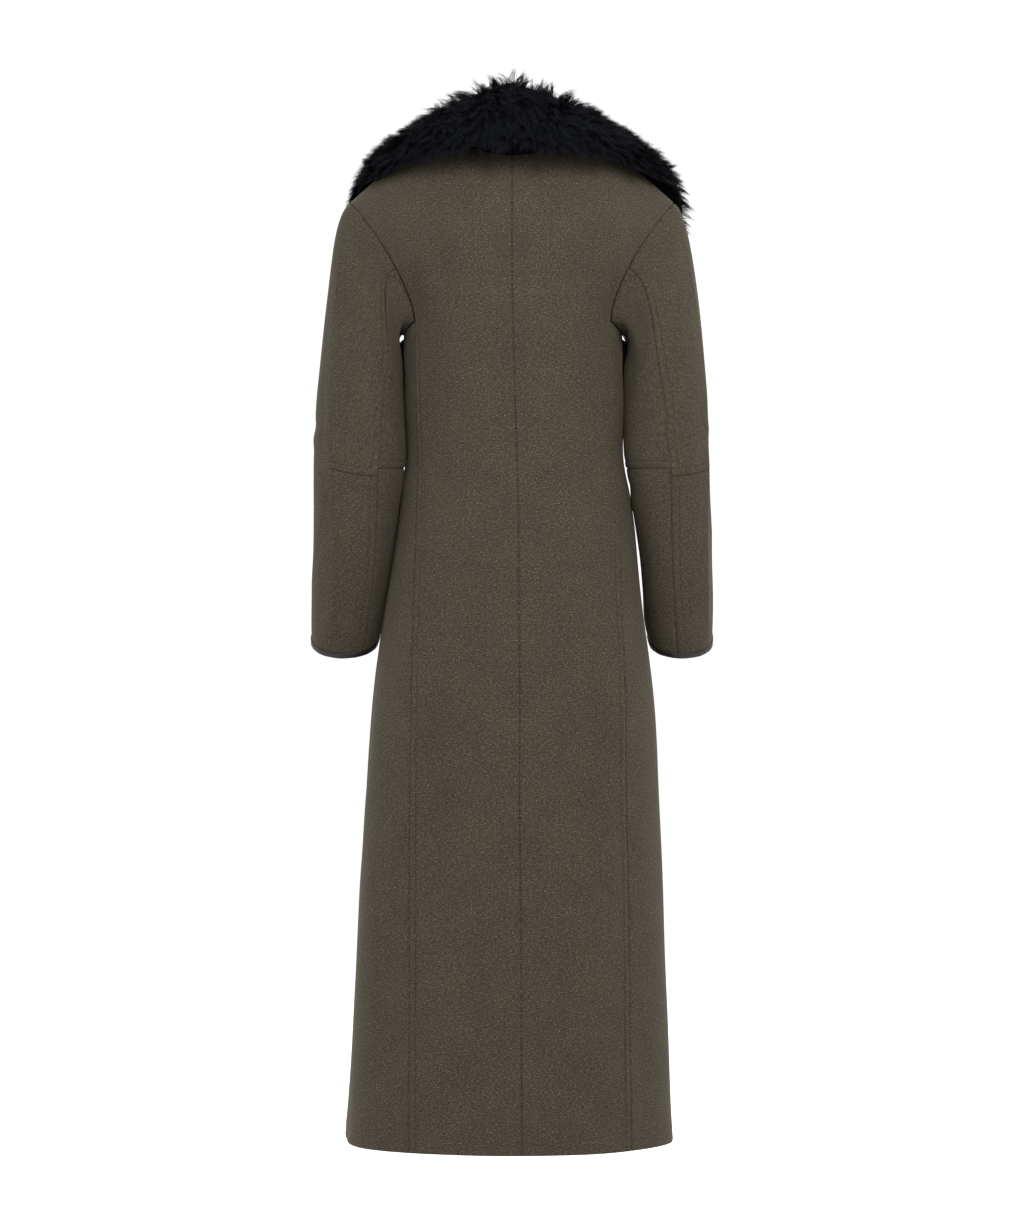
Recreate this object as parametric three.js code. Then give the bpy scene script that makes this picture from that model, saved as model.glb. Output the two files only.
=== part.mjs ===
// A long single-breasted wool coat with a wide shearling collar, filled out as if it were worn.
// Millimetres, +Z up. The wearer faces -Y, and +X is the wearer's left. The origin is the middle of
// the neck opening at the height of the neck ends of the shoulder seams.
import * as THREE from "three";

// A table of rows under named columns.
function table(names, rows) {
  const columns = names.split(" ");
  return rows.map((values) => Object.fromEntries(values.map((value, k) => [columns[k], value])));
}

// Driving sizes
const CLOTH = 2.4; // thickness of the felted wool cloth
const SEAM = 0.3; // gap left between two pieces at a seam
const SLEEVE_SEAM = 0.4; // and along the sleeves, where the cloth curves most
const HEM_Z = -1318;
const UNDERARM_Z = -238; // height of the two lower corners of each armhole
const UNDERARM_DIP = 14; // how far the armhole drops between those corners
const NECK_HALF = 85; // half width of the neck opening on the shoulder line
const NECK_BACK = 75; // depth of the neck opening behind the origin
const SHOULDER_Y = 4; // the shoulder seam lies just behind the origin
const SHOULDER_RUN = 130; // from the neck end of the shoulder seam out to its tip
const SHOULDER_DROP = 77;
const SHOULDER_ROUNDING = 1.6; // above 1 the shoulder line is convex
const LAP_GAP = 0.9; // the left front lies this far under the right one
const LAP = 40; // each front runs on past the centre line by this much
const LAP_ZONE = LAP + 22; // and is flat across for this far from the centre line
const V_DROP = 220; // height lost along the front neck edge, down to the front edge
const ROUNDNESS = 2.2; // superellipse exponent of the body's sections
const SLEEVE_ROUNDNESS = 2.15;
const RING_STEPS = 360;
const SLOPE_STEP = 10; // height over which a surface's slope is taken
const FOLD_ONSET = 1.6; // the long folds reach their full height after this share of their run
const BACK_BOW = 3.1; // above 1 the yoke stands full before it rounds over to the shoulder
const FRONT_BOW = 1.6; // the chest by the centre line bows less
const YOKE_SLANT = 1.5; // above 1 the yoke keeps its width before it draws in to the neck
const YOKE_FULLNESS = { back: 11, front: 7 }; // how far the shoulder blades and chest stand out
const FULLNESS_SPREAD = 1.4; // the fullness is whole from here out, and none at the centre line
const LAP_EASE = 16; // the left front steps under the right one over this distance
const LAP_RISE_EASE = 30; // above the underarm it also steps down, in full after this height
const DIP_EASE = 70; // height below the underarm over which its dip fades out
const NECK_CUT_STEPS = 30; // halvings that find the neck edge on a column
const INSIDE = { share: 0.55, below: 60 }; // a point within the body, to tell its inside from its outside

const BINDING_WIDTH = 7;
const BINDING_PROUD = 0.9; // the leather stands proud of the cloth by this much

const PILE = 22; // length of the shearling pile, counted in the collar's thickness
const COLLAR_SKIN = 3;
const COLLAR_RISE = 0.9; // its seam lies this far above the neck edge

const BUTTON_RADIUS = 14;
const BUTTON_THICKNESS = 4.6;
const BUTTON_EDGE = 1.3; // how far its corners are cut
const BUTTON_RIM = 3.4;
const BUTTON_DISH = 1.6; // how deep its face is sunk inside the rim
const BUTTON_SIDES = 24;
const BUTTON_COUNT = 4;
const BUTTON_COLUMN = 12; // column of the front that runs down by the centre line
const BUTTON_TOP_ROW = 18;
const BUTTON_ROWS = 3; // rows from one button to the next, about 170 mm

// Horizontal sections of the body, from the hem up to the underarm. half is the half width, centre
// the middle's X, back and front the depths, sway the centre back seam's distance round from the
// section's middle, backSeam and sideSeam the distance of those seams from the centre back seam.
const BODY = table("z half centre back front sway backSeam sideSeam", [
  [-1318, 217.5, 6, 158, 160, -19, 150, 292],
  [-1268, 213.5, 5.5, 156, 157, -18, 150, 288],
  [-1002, 202, 3.8, 146, 147, -15, 149, 268],
  [-869, 194.5, 1.3, 141, 141, -11, 148, 257],
  [-736, 185.5, -2, 137, 136, -8, 148, 247],
  [-610, 169.8, -2.8, 131, 128, -6, 147, 236],
  [-510, 157.5, -5.3, 120, 120, -3, 147, 229],
  [-465, 151.3, -5.2, 114, 119, -2.5, 147, 225.5],
  [-412, 143.7, -3.9, 108, 118, -2, 147, 222],
  [-337, 145.5, -2.7, 109, 126, -1, 147, 219],
  [-238, 145, -1, 116, 133, 0, 147, 217],
]);

// Long soft folds of the body, as round ridges or troughs along the cloth. at is the distance round
// from the centre back seam towards the wearer's left, lean its drift from top to bottom.
const BODY_FOLDS = [
  { name: "left hip", at: 196, lean: 30, top: -560, bottom: -1330, width: 46, height: 4.5 },
  { name: "left back", at: 88, lean: 16, top: -640, bottom: -1330, width: 50, height: -3 },
  { name: "right hip", at: -205, lean: -34, top: -520, bottom: -1330, width: 48, height: 5 },
  { name: "right back", at: -78, lean: -22, top: -700, bottom: -1330, width: 46, height: 3 },
  { name: "left front", at: 330, lean: 60, top: -500, bottom: -1330, width: 55, height: 5 },
  { name: "left front trough", at: 262, lean: 44, top: -600, bottom: -1330, width: 42, height: -4 },
  { name: "right front", at: -322, lean: -66, top: -560, bottom: -1330, width: 52, height: 5 },
  { name: "right front trough", at: -268, lean: -40, top: -640, bottom: -1330, width: 40, height: -4 },
];

// Soft folds beside the armholes, in the panels' own measure: across is 0 at the centre line and 1
// at the armhole, up is 0 at the underarm and 1 at the shoulder seam.
const ARMHOLE_FOLDS = [
  { name: "back", face: 1, across: 0.8, lean: 0.05, up: 0.42, width: 0.1, length: 0.34, height: 6 },
  { name: "back trough", face: 1, across: 0.62, lean: 0.04, up: 0.36, width: 0.1, length: 0.3, height: -4 },
  { name: "front", face: -1, across: 0.8, lean: 0.05, up: 0.4, width: 0.12, length: 0.34, height: 5 },
];

// Sections of the left sleeve, below the sleeve head. inner and outer are X, back and front Y, dip
// is how far the back of the section hangs below its middle. seam is where the back seam runs and
// crease where the pressed ridge stands beside it, both in degrees round from the back.
const SLEEVE = table("z away inner outer back front dip seam crease sharp", [
  [-300, 6, 144, 255.5, 70, -64, 0, -9, 62, 0.045],
  [-337, 5, 144, 258.5, 72, -60, 0, -4, 62, 0.05],
  [-412, 8, 140.5, 261, 75, -52, 2, 0, 61, 0.055],
  [-439, 9, 142.5, 262, 75, -48, 3, 1, 60, 0.055],
  [-500, 11, 151.5, 264.5, 66, -54, 7, -4, 50, 0.045],
  [-545, 12, 158, 266, 53, -61, 12, -7, 48, 0.045],
  [-590, 9.5, 165, 268, 36, -71, 16, -8, 48, 0.04],
  [-630, 6, 171.5, 269, 16, -84, 20, -7, 50, 0.02],
  [-658, 4, 180, 269, -2, -94, 22, -6, 50, 0],
]);
const ELBOW_Z = -439;
const ELBOW_ARC = 10; // the elbow seam's ends are higher than its middle by this much
const SLEEVE_FRONT_SEAM = -148; // degrees round from the back, by the inside of the arm
const CREASE_WIDTH = 9; // degrees over which the pressed ridge fades out
const ELBOW_ARC_HALF = { turn: 60, height: 50 }; // how far round and along the elbow seam's arc reaches
// How the sleeve head leaves the armhole, as shares of its length: away across the seam, sideways
// and outwards along the cloth's normal, at the shoulder and under the arm.
const HEAD_LEAVE = { away: [0.36, 0.7], sideways: [0.1, 0.3], outwards: [0, 0.6] };
const HEAD_LOW = { from: -110, to: -240 }; // the heights between which the first becomes the second
const ARM_OFF_BODY = 60; // the armhole's middle, moved sideways, shows which way the sleeve lies
// How each sleeve hangs: turn is its rotation about its own length, away its share of the room.
const HANG = { left: { turn: -27, away: 0 }, right: { turn: 0, away: 1 } };

// The skin of the collar's left half, from the centre back round to its front end. along is the
// place on the neck edge, crest the roll line, mid the middle of the leaf and edge its outer edge.
const COLLAR = table("along crestX crestY crestZ midX midY midZ edgeX edgeY edgeZ", [
  [0, 0, 82, 60, 0, 110, 30, 0, 121, -18],
  [0.14, 44, 72, 45, 60, 99, 18, 70, 114, -25],
  [0.28, 76, 42, 30, 106, 66, 6, 130, 84, -36],
  [0.4, 92, 4, 20, 140, 24, -7, 184, 44, -57],
  [0.5, 95, -36, 12, 154, -26, -9, 213, -6, -62],
  [0.62, 88, -68, -10, 151, -84, -34, 220, -64, -112],
  [0.75, 70, -92, -42, 128, -130, -94, 192, -104, -178],
  [0.88, 48, -112, -80, 92, -152, -144, 138, -134, -234],
  [1, 25, -126, -118, 46, -156, -180, 66, -150, -258],
]);
const COLLAR_SPREAD = { left: 0.98, right: 1.07 }; // how far each leaf is spread sideways
const COLLAR_NECK_SHARE = 0.4; // the first part of the collar runs round the back of the neck
const COLLAR_END = 0.56; // it ends this far down the front neck edge, just short of the centre
const COLLAR_FRONT_SPACING = 1.5; // above 1 its stations lie closer by the shoulder than in front
// How thick the fur stands from the seam over to the outer edge, and towards the front end. Each
// is a share of the pile with the share of the way over, or along, where it starts or ends.
const FUR = { atSeam: 0.5, fullBy: 0.3, atEdge: 0.45, thinsFrom: 0.72, atFront: 0.7, frontFrom: 0.6 };

const deg = (angle) => (angle * Math.PI) / 180;
const lerp = (a, b, t) => a + (b - a) * t;
const mirrored = (p, side) => vec(p.x * side, p.y, p.z);
const power = (value, exponent) => Math.sign(value) * Math.abs(value) ** exponent;
const clamp01 = (t) => Math.min(1, Math.max(0, t));
const smooth = (t) => clamp01(t) ** 2 * (3 - 2 * clamp01(t));
const bell = (distance) => Math.exp(-distance * distance);
const vec = (x, y, z) => new THREE.Vector3(x, y, z);

// One row of a table at any value of its key column, by a smooth curve through the rows.
function row(table, key, value) {
  const rising = table[0][key] < table[table.length - 1][key];
  const rows = rising ? table : [...table].reverse();
  let i = rows.findIndex((r) => r[key] > value) - 1;
  if (i < 0) i = value <= rows[0][key] ? 0 : rows.length - 2;
  const at = (k) => rows[Math.min(rows.length - 1, Math.max(0, k))];
  const span = at(i + 1)[key] - at(i)[key];
  const t = Math.min(1.05, Math.max(-0.05, (value - at(i)[key]) / span));
  const out = {};
  for (const column of Object.keys(table[0])) {
    const slope = (k) => {
      const step = at(k + 1)[key] - at(k - 1)[key];
      return step ? ((at(k + 1)[column] - at(k - 1)[column]) / step) * span : 0;
    };
    const [a, b, ta, tb] = [at(i)[column], at(i + 1)[column], slope(i), slope(i + 1)];
    out[column] =
      a * (1 + 2 * t) * (1 - t) ** 2 + ta * t * (1 - t) ** 2 + b * t * t * (3 - 2 * t) + tb * t * t * (t - 1);
  }
  return out;
}

const superellipse = (angle, half, depth, exponent) =>
  ((Math.abs(Math.sin(angle)) / half) ** exponent + (Math.abs(Math.cos(angle)) / depth) ** exponent) **
  (-1 / exponent);

// The body's section at one height, as points with their distance round from straight back.
const rings = new Map();
function bodyRing(z) {
  const key = z.toFixed(3);
  if (rings.has(key)) return rings.get(key);
  const s = row(BODY, "z", z);
  const points = [];
  const reach = [0];
  for (let k = 0; k <= RING_STEPS; k++) {
    const angle = (2 * Math.PI * k) / RING_STEPS;
    const r = superellipse(angle, s.half, Math.cos(angle) > 0 ? s.back : s.front, ROUNDNESS);
    points.push([s.centre + r * Math.sin(angle), r * Math.cos(angle)]);
    const before = points[k - 1];
    if (k) reach.push(reach[k - 1] + Math.hypot(points[k][0] - before[0], points[k][1] - before[1]));
  }
  const ring = { ...s, points, reach, girth: reach[RING_STEPS] };
  rings.set(key, ring);
  return ring;
}

// The point of a section at a distance round from the centre back seam, towards the wearer's left.
function onRing(ring, distance) {
  const s = (((distance + ring.sway) % ring.girth) + ring.girth) % ring.girth;
  let [lo, hi] = [0, RING_STEPS];
  while (hi - lo > 1) {
    const mid = (lo + hi) >> 1;
    if (ring.reach[mid] > s) hi = mid;
    else lo = mid;
  }
  const t = (s - ring.reach[lo]) / (ring.reach[hi] - ring.reach[lo]);
  return ring.points[lo].map((value, k) => lerp(value, ring.points[hi][k], t));
}

// How far the long folds lift the cloth at a place on the body.
function foldLift(distance, z) {
  let lift = 0;
  for (const f of BODY_FOLDS) {
    const down = (f.top - z) / (f.top - f.bottom);
    if (down <= 0) continue;
    lift += f.height * smooth(down * FOLD_ONSET) * bell((distance - f.at - f.lean * down) / f.width);
  }
  return lift;
}

// A point of the body below the underarm. side is 1 on the wearer's left and -1 on the right.
function bodyPoint(side, distance, z) {
  const ring = bodyRing(z);
  const [x, y] = onRing(ring, side * distance);
  const middle = Math.hypot(x - ring.centre, y);
  const lift = 1 + foldLift(side * distance, z) / middle;
  return vec(ring.centre + (x - ring.centre) * lift, y * lift, z);
}

// The shoulder line of the left side, at a distance from the centre. It stays level over the neck.
const shoulderLine = (x) =>
  vec(x, SHOULDER_Y, -SHOULDER_DROP * (Math.max(0, x - NECK_HALF) / SHOULDER_RUN) ** SHOULDER_ROUNDING);
function shoulderNormal(side, x) {
  const along = shoulderLine(x + 1).sub(shoulderLine(x - 1));
  return vec(-side * along.z, 0, along.x).normalize();
}

// The chest and back above the underarm, before the neck is cut out. Each column leaves the
// underarm section in its own direction and rounds over at the top to end on the shoulder line.
function torsoPoint(side, face, distance, topX, t) {
  const base = mirrored(bodyPoint(side, distance, UNDERARM_Z), side);
  const below = mirrored(bodyPoint(side, distance, UNDERARM_Z - SLOPE_STEP), side);
  const top = shoulderLine(topX);
  const height = top.z - base.z;
  const across = clamp01(Math.abs(topX) / (NECK_HALF + SHOULDER_RUN));
  const outward = clamp01((Math.abs(topX) - LAP_ZONE) / (NECK_HALF + SHOULDER_RUN - LAP_ZONE));
  const bow = face > 0 ? BACK_BOW : lerp(FRONT_BOW, BACK_BOW, smooth(outward));
  const over = 1 - power(1 - power(t, bow), 1 / bow);
  const slant = power(t, YOKE_SLANT);
  const p = vec(lerp(base.x, top.x, slant), lerp(base.y, top.y, over), lerp(base.z, top.z, t));
  p.addScaledVector(base.sub(below).setZ(0), (height / SLOPE_STEP) * t * (1 - t) ** 2);
  const fullness = face > 0 ? YOKE_FULLNESS.back : YOKE_FULLNESS.front;
  let lift = fullness * Math.sin(Math.PI * clamp01(t)) ** 2 * smooth(across * FULLNESS_SPREAD);
  for (const f of ARMHOLE_FOLDS.filter((fold) => fold.face === face))
    lift += f.height * bell((across - f.across - f.lean * (t - f.up)) / f.width)
      * bell((t - f.up) / f.length);
  p.y += face * lift;
  return p;
}

// How far up a column the neck is cut out. The back neck is an ellipse seen from above, and the
// front neck runs straight down from the shoulder to the front edge seen from the front.
function neckCut(side, face, distance, topX) {
  if (topX > NECK_HALF - 0.01) return 1;
  const inNeck = (t) => {
    const p = torsoPoint(side, face, distance, topX, t);
    if (face > 0) return Math.hypot(p.x / NECK_HALF, (p.y - SHOULDER_Y) / (NECK_BACK - SHOULDER_Y)) < 1;
    return p.z > (V_DROP * (p.x - NECK_HALF)) / (NECK_HALF + LAP);
  };
  let [low, high] = [0, 1];
  for (let k = 0; k < NECK_CUT_STEPS; k++) {
    const middle = (low + high) / 2;
    if (inNeck(middle)) high = middle;
    else low = middle;
  }
  return low;
}

const BACK_SEAM_ROW = 2; // the sleeve's back seam starts this many rows above the underarm
const armholeDrop = (share) => UNDERARM_DIP * Math.sin(Math.PI * clamp01(share));
const seamNear = (z, distance) => distance * smooth((z - (UNDERARM_Z - DIP_EASE)) / DIP_EASE);

const LOWER_ROWS = 19;
const YOKE_ROWS = 8;
const BACK_COLUMNS = { neck: 3, shoulder: 5 };
const SIDE_COLUMNS = 5;
const FRONT_COLUMNS = { underarm: 4, shoulder: 5, neck: 5 };
const lowerZ = (j) => lerp(HEM_Z, UNDERARM_Z, j / LOWER_ROWS);
// Each long panel is one cut piece of cloth. Its solid is parted into stretches between these rows,
// one above the other, so that collision follows it. They lie a seam's gap apart.
const STRETCHES = {
  hem: [0, 6],
  skirt: [6, 13],
  waist: [13, LOWER_ROWS],
  yoke: [LOWER_ROWS, LOWER_ROWS + YOKE_ROWS],
};
// Rows of the yoke close up towards the shoulder, where the cloth turns over.
const yokeUp = (j) => Math.sin(deg(90 * clamp01((j - LOWER_ROWS) / YOKE_ROWS))) ** 0.9;

// The back panel: i runs from the centre back seam outwards, j from the hem to the shoulder.
const backTopX = (i) => i <= BACK_COLUMNS.neck
  ? (NECK_HALF * i) / BACK_COLUMNS.neck
  : NECK_HALF + (SHOULDER_RUN * (i - BACK_COLUMNS.neck)) / BACK_COLUMNS.shoulder;
function backSurface(side) {
  const columns = BACK_COLUMNS.neck + BACK_COLUMNS.shoulder;
  return (i, j) => {
    if (j <= LOWER_ROWS) {
      const z = lowerZ(j);
      return bodyPoint(side, lerp(SEAM / 2, bodyRing(z).backSeam - SEAM / 2, i / columns), z);
    }
    const distance = lerp(SEAM / 2, bodyRing(UNDERARM_Z).backSeam - SEAM / 2, i / columns);
    const topX = Math.max(SEAM / 2, backTopX(i));
    const p = torsoPoint(side, 1, distance, topX, yokeUp(j) * neckCut(side, 1, distance, topX));
    p.y += SEAM * yokeUp(j);
    return mirrored(p, side);
  };
}

// The side panel behind the side seam, which ends at the underarm.
function sideSurface(side) {
  return (i, j) => {
    const share = i / SIDE_COLUMNS;
    const z = lowerZ(j);
    const reach = bodyRing(z);
    const distance = lerp(reach.backSeam + SEAM / 2, reach.sideSeam - SEAM / 2, share);
    return bodyPoint(side, distance, z - seamNear(z, armholeDrop(share / 2)));
  };
}

// The front: i runs from the side seam to the front edge. Its first columns end at the underarm.
// The left front steps back where it lies under the right one.
function frontTopX(i) {
  const past = i - FRONT_COLUMNS.underarm - FRONT_COLUMNS.shoulder;
  if (past <= 0) return NECK_HALF - (SHOULDER_RUN * past) / FRONT_COLUMNS.shoulder;
  return NECK_HALF - ((NECK_HALF + LAP) * past) / FRONT_COLUMNS.neck;
}
function frontSurface(side) {
  const columns = FRONT_COLUMNS.underarm + FRONT_COLUMNS.shoulder + FRONT_COLUMNS.neck;
  const distanceAt = (z, i) => {
    const ring = bodyRing(z);
    return lerp(ring.sideSeam + SEAM / 2, ring.girth / 2 + LAP, i / columns);
  };
  const under = (p, fromCentre) => {
    if (side < 0) return p;
    const sloping = smooth((p.z - UNDERARM_Z) / LAP_RISE_EASE);
    const step = (CLOTH + LAP_GAP) * smooth((LAP_ZONE - fromCentre) / LAP_EASE);
    p.y += step;
    p.z -= step * sloping;
    return p;
  };
  return (i, j) => {
    if (j <= LOWER_ROWS) {
      const z = lowerZ(j);
      const share = 0.5 + (0.5 * i) / FRONT_COLUMNS.underarm;
      const drop = share > 1 ? 0 : seamNear(z, armholeDrop(share));
      const distance = distanceAt(z, i);
      return under(bodyPoint(side, distance, z - drop), bodyRing(z).girth / 2 - distance);
    }
    const distance = distanceAt(UNDERARM_Z, i);
    const topX = frontTopX(i);
    const p = torsoPoint(side, -1, distance, topX, yokeUp(j) * neckCut(side, -1, distance, topX));
    return mirrored(under(p, p.x), side);
  };
}

// Unit normal of a surface at a place, on the side away from a point inside the garment.
function normalOf(surface, i, j, inside, rows = Infinity) {
  const step = 0.02;
  const jHigh = Math.min(j + step, rows);
  const across = surface(i + step, j).sub(surface(i - step, j));
  const up = surface(i, jHigh).sub(surface(i, jHigh - 2 * step));
  const n = across.cross(up).normalize();
  const p = surface(i, j);
  return n.dot(p.clone().sub(inside(p))) < 0 ? n.negate() : n;
}
const bodyInside = (p) => vec(p.x * INSIDE.share, 0, p.z - (p.z > UNDERARM_Z ? INSIDE.below : 0));

// A closed wall between two skins of points. keep says which cells of the grid are cloth.
function wall(outer, inner, columns, rows, { closed = false, keep = () => true } = {}) {
  const positions = [];
  const made = new Map();
  const wrap = (i) => (closed ? (i + columns) % columns : i);
  const cloth = (i, j) =>
    (closed || (i >= 0 && i < columns)) && j >= 0 && j < rows && keep(wrap(i), j);
  const vertex = (skin, i, j) => {
    const key = `${skin}/${wrap(i)}/${j}`;
    if (!made.has(key)) {
      made.set(key, positions.length / 3);
      positions.push(...(skin === "outer" ? outer : inner)(wrap(i), j).toArray());
    }
    return made.get(key);
  };
  const index = [];
  const quad = (a, b, c, d) => index.push(a, b, c, a, c, d);
  // The two rims that face each other across a gap are parted along the same diagonal.
  const rim = (i0, j0, i1, j1) => {
    const [outer0, inner0] = [vertex("outer", i0, j0), vertex("inner", i0, j0)];
    const [outer1, inner1] = [vertex("outer", i1, j1), vertex("inner", i1, j1)];
    if (i0 + j0 < i1 + j1) quad(outer1, outer0, inner0, inner1);
    else quad(outer0, inner0, inner1, outer1);
  };
  for (let i = 0; i < columns; i++) {
    for (let j = 0; j < rows; j++) {
      if (!cloth(i, j)) continue;
      const corners = [[i, j], [i + 1, j], [i + 1, j + 1], [i, j + 1]];
      quad(...corners.map(([a, b]) => vertex("outer", a, b)));
      quad(...corners.map(([a, b]) => vertex("inner", a, b)).reverse());
      if (!cloth(i, j - 1)) rim(i, j, i + 1, j);
      if (!cloth(i + 1, j)) rim(i + 1, j, i + 1, j + 1);
      if (!cloth(i, j + 1)) rim(i + 1, j + 1, i, j + 1);
      if (!cloth(i - 1, j)) rim(i, j + 1, i, j);
    }
  }
  const geometry = new THREE.BufferGeometry();
  geometry.setAttribute("position", new THREE.Float32BufferAttribute(positions, 3));
  geometry.setIndex(volume(positions, index) < 0 ? index.reverse() : index);
  geometry.computeVertexNormals();
  return geometry;
}

function volume(positions, index) {
  const at = (k) => vec(...positions.slice(3 * index[k], 3 * index[k] + 3));
  let sum = 0;
  for (let k = 0; k < index.length; k += 3) sum += at(k).dot(at(k + 1).cross(at(k + 2))) / 6;
  return sum;
}

// Cloth of even thickness behind a surface, over one stretch of the panel's rows. normal gives the
// way out at each grid point. Where the panel runs on, the stretch ends half a gap short of the row.
function clothWall(surface, normal, columns, rows, [first, last], { keep, free = () => false } = {}) {
  const inward = (i, j) => {
    if (j === first && first > 0) return 1;
    return j === last && last < rows && !free(i) ? -1 : 0;
  };
  const outer = (i, j) => {
    const p = surface(i, first + j);
    const next = surface(i, first + j + inward(i, first + j));
    return p.addScaledVector(next.sub(p).normalize(), SEAM / 2);
  };
  const inner = (i, j) => outer(i, j).addScaledVector(normal(i, first + j), -CLOTH);
  return wall(outer, inner, columns, last - first, { keep });
}

function backPanel(side, stretch) {
  const surface = backSurface(side);
  const rows = LOWER_ROWS + YOKE_ROWS;
  const normal = (i, j) => {
    const n = normalOf(surface, i, j, bodyInside, rows);
    return j === rows && i >= BACK_COLUMNS.neck ? shoulderNormal(side, backTopX(i)) : n;
  };
  return clothWall(surface, normal, BACK_COLUMNS.neck + BACK_COLUMNS.shoulder, rows, stretch);
}

function sidePanel(side, stretch) {
  const surface = sideSurface(side);
  return clothWall(surface, (i, j) => normalOf(surface, i, j, bodyInside), SIDE_COLUMNS, LOWER_ROWS, stretch);
}

function frontPanel(side, stretch) {
  const surface = frontSurface(side);
  const { underarm, shoulder, neck } = FRONT_COLUMNS;
  const rows = LOWER_ROWS + YOKE_ROWS;
  const normal = (i, j) => {
    const inward = j > LOWER_ROWS && i === underarm ? i + 0.03 : i;
    const n = normalOf(surface, inward, j, bodyInside, rows);
    return j === rows && i <= underarm + shoulder ? shoulderNormal(side, frontTopX(i)) : n;
  };
  const keep = (i, j) => i >= underarm || stretch[0] + j < LOWER_ROWS;
  const free = (i) => i < underarm && stretch[1] === LOWER_ROWS;
  return clothWall(surface, normal, underarm + shoulder + neck, rows, stretch, { keep, free });
}

// The body's skin at the edge of the armhole: one place for each column of the sleeve, from the
// back seam over the shoulder, down the front and back under the arm.
function armholeEdge(side) {
  const back = backSurface(side);
  const front = frontSurface(side);
  const flank = sideSurface(side);
  const backEdge = BACK_COLUMNS.neck + BACK_COLUMNS.shoulder;
  const tip = LOWER_ROWS + YOKE_ROWS;
  const place = (surface, i, j) => {
    const outer = surface(i, j);
    const normal = j === tip
      ? shoulderNormal(side, NECK_HALF + SHOULDER_RUN)
      : normalOf(surface, i, j, bodyInside, tip);
    return { outer, inner: outer.clone().addScaledVector(normal, -CLOTH), normal };
  };
  const between = (a, b) => ({
    outer: a.outer.lerp(b.outer, 0.5),
    inner: a.inner.lerp(b.inner, 0.5),
    normal: a.normal.add(b.normal).normalize(),
  });
  const edge = [];
  for (let j = LOWER_ROWS + BACK_SEAM_ROW; j < tip; j++) edge.push(place(back, backEdge, j));
  edge.push(between(place(back, backEdge, tip), place(front, FRONT_COLUMNS.underarm, tip)));
  for (let j = tip - 1; j >= LOWER_ROWS; j--) edge.push(place(front, FRONT_COLUMNS.underarm, j));
  for (let i = FRONT_COLUMNS.underarm - 1; i > 0; i--) edge.push(place(front, i, LOWER_ROWS));
  edge.push(between(place(front, 0, LOWER_ROWS), place(flank, SIDE_COLUMNS, LOWER_ROWS)));
  for (let i = SIDE_COLUMNS - 1; i > 0; i--) edge.push(place(flank, i, LOWER_ROWS));
  edge.push(between(place(flank, 0, LOWER_ROWS), place(back, backEdge, LOWER_ROWS)));
  for (let j = LOWER_ROWS + 1; j < LOWER_ROWS + BACK_SEAM_ROW; j++) edge.push(place(back, backEdge, j));

  // The way off the body across the seam, towards the sleeve.
  const centre = vec(0, 0, 0);
  edge.forEach(({ outer }) => centre.addScaledVector(outer, 1 / edge.length));
  centre.x += side * ARM_OFF_BODY;
  edge.forEach((place, k) => {
    const next = edge[(k + 1) % edge.length].outer;
    const before = edge[(k + edge.length - 1) % edge.length].outer;
    place.away = next.clone().sub(before).cross(place.normal).normalize();
    if (place.away.dot(centre.clone().sub(place.outer)) < 0) place.away.negate();
  });
  return edge;
}

// A point of a sleeve's section. turn is in degrees round from the back, outwards.
function sleeveSection(side, turn, z) {
  const hang = side > 0 ? HANG.left : HANG.right;
  const s = row(SLEEVE, "z", z);
  const [inner, outer] = [s.inner + s.away * hang.away, s.outer];
  const angle = deg(turn + hang.turn);
  const pressed = 1 + s.sharp * bell((turn - s.crease) / CREASE_WIDTH);
  const r = pressed * superellipse(angle, (outer - inner) / 2, (s.back - s.front) / 2, SLEEVE_ROUNDNESS);
  const round = Math.min(1, ((turn - s.seam) / ELBOW_ARC_HALF.turn) ** 2);
  const raised = ELBOW_ARC * round * bell((z - ELBOW_Z) / ELBOW_ARC_HALF.height);
  return vec(
    side * ((inner + outer) / 2 + r * Math.sin(angle)),
    (s.back + s.front) / 2 + r * Math.cos(angle),
    z - s.dip * Math.cos(angle) + raised,
  );
}

const SLEEVE_PANELS = { ridge: 4, frontSeam: 13, end: 25 };
const SLEEVE_ROWS = { head: 6, upper: 4, lower: 8 };
const sleeveColumns = SLEEVE_PANELS.end;
const sleeveRows = SLEEVE_ROWS.head + SLEEVE_ROWS.upper + SLEEVE_ROWS.lower;
const elbowRow = SLEEVE_ROWS.head + SLEEVE_ROWS.upper;

function sleeveTurn(column, z) {
  const { seam, crease } = row(SLEEVE, "z", z);
  const { ridge, frontSeam, end } = SLEEVE_PANELS;
  const front = SLEEVE_FRONT_SEAM + 360;
  if (column <= ridge) return lerp(seam, crease, column / ridge);
  if (column <= frontSeam) return lerp(crease, front, (column - ridge) / (frontSeam - ridge));
  return lerp(front, seam + 360, (column - frontSeam) / (end - frontSeam));
}

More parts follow.
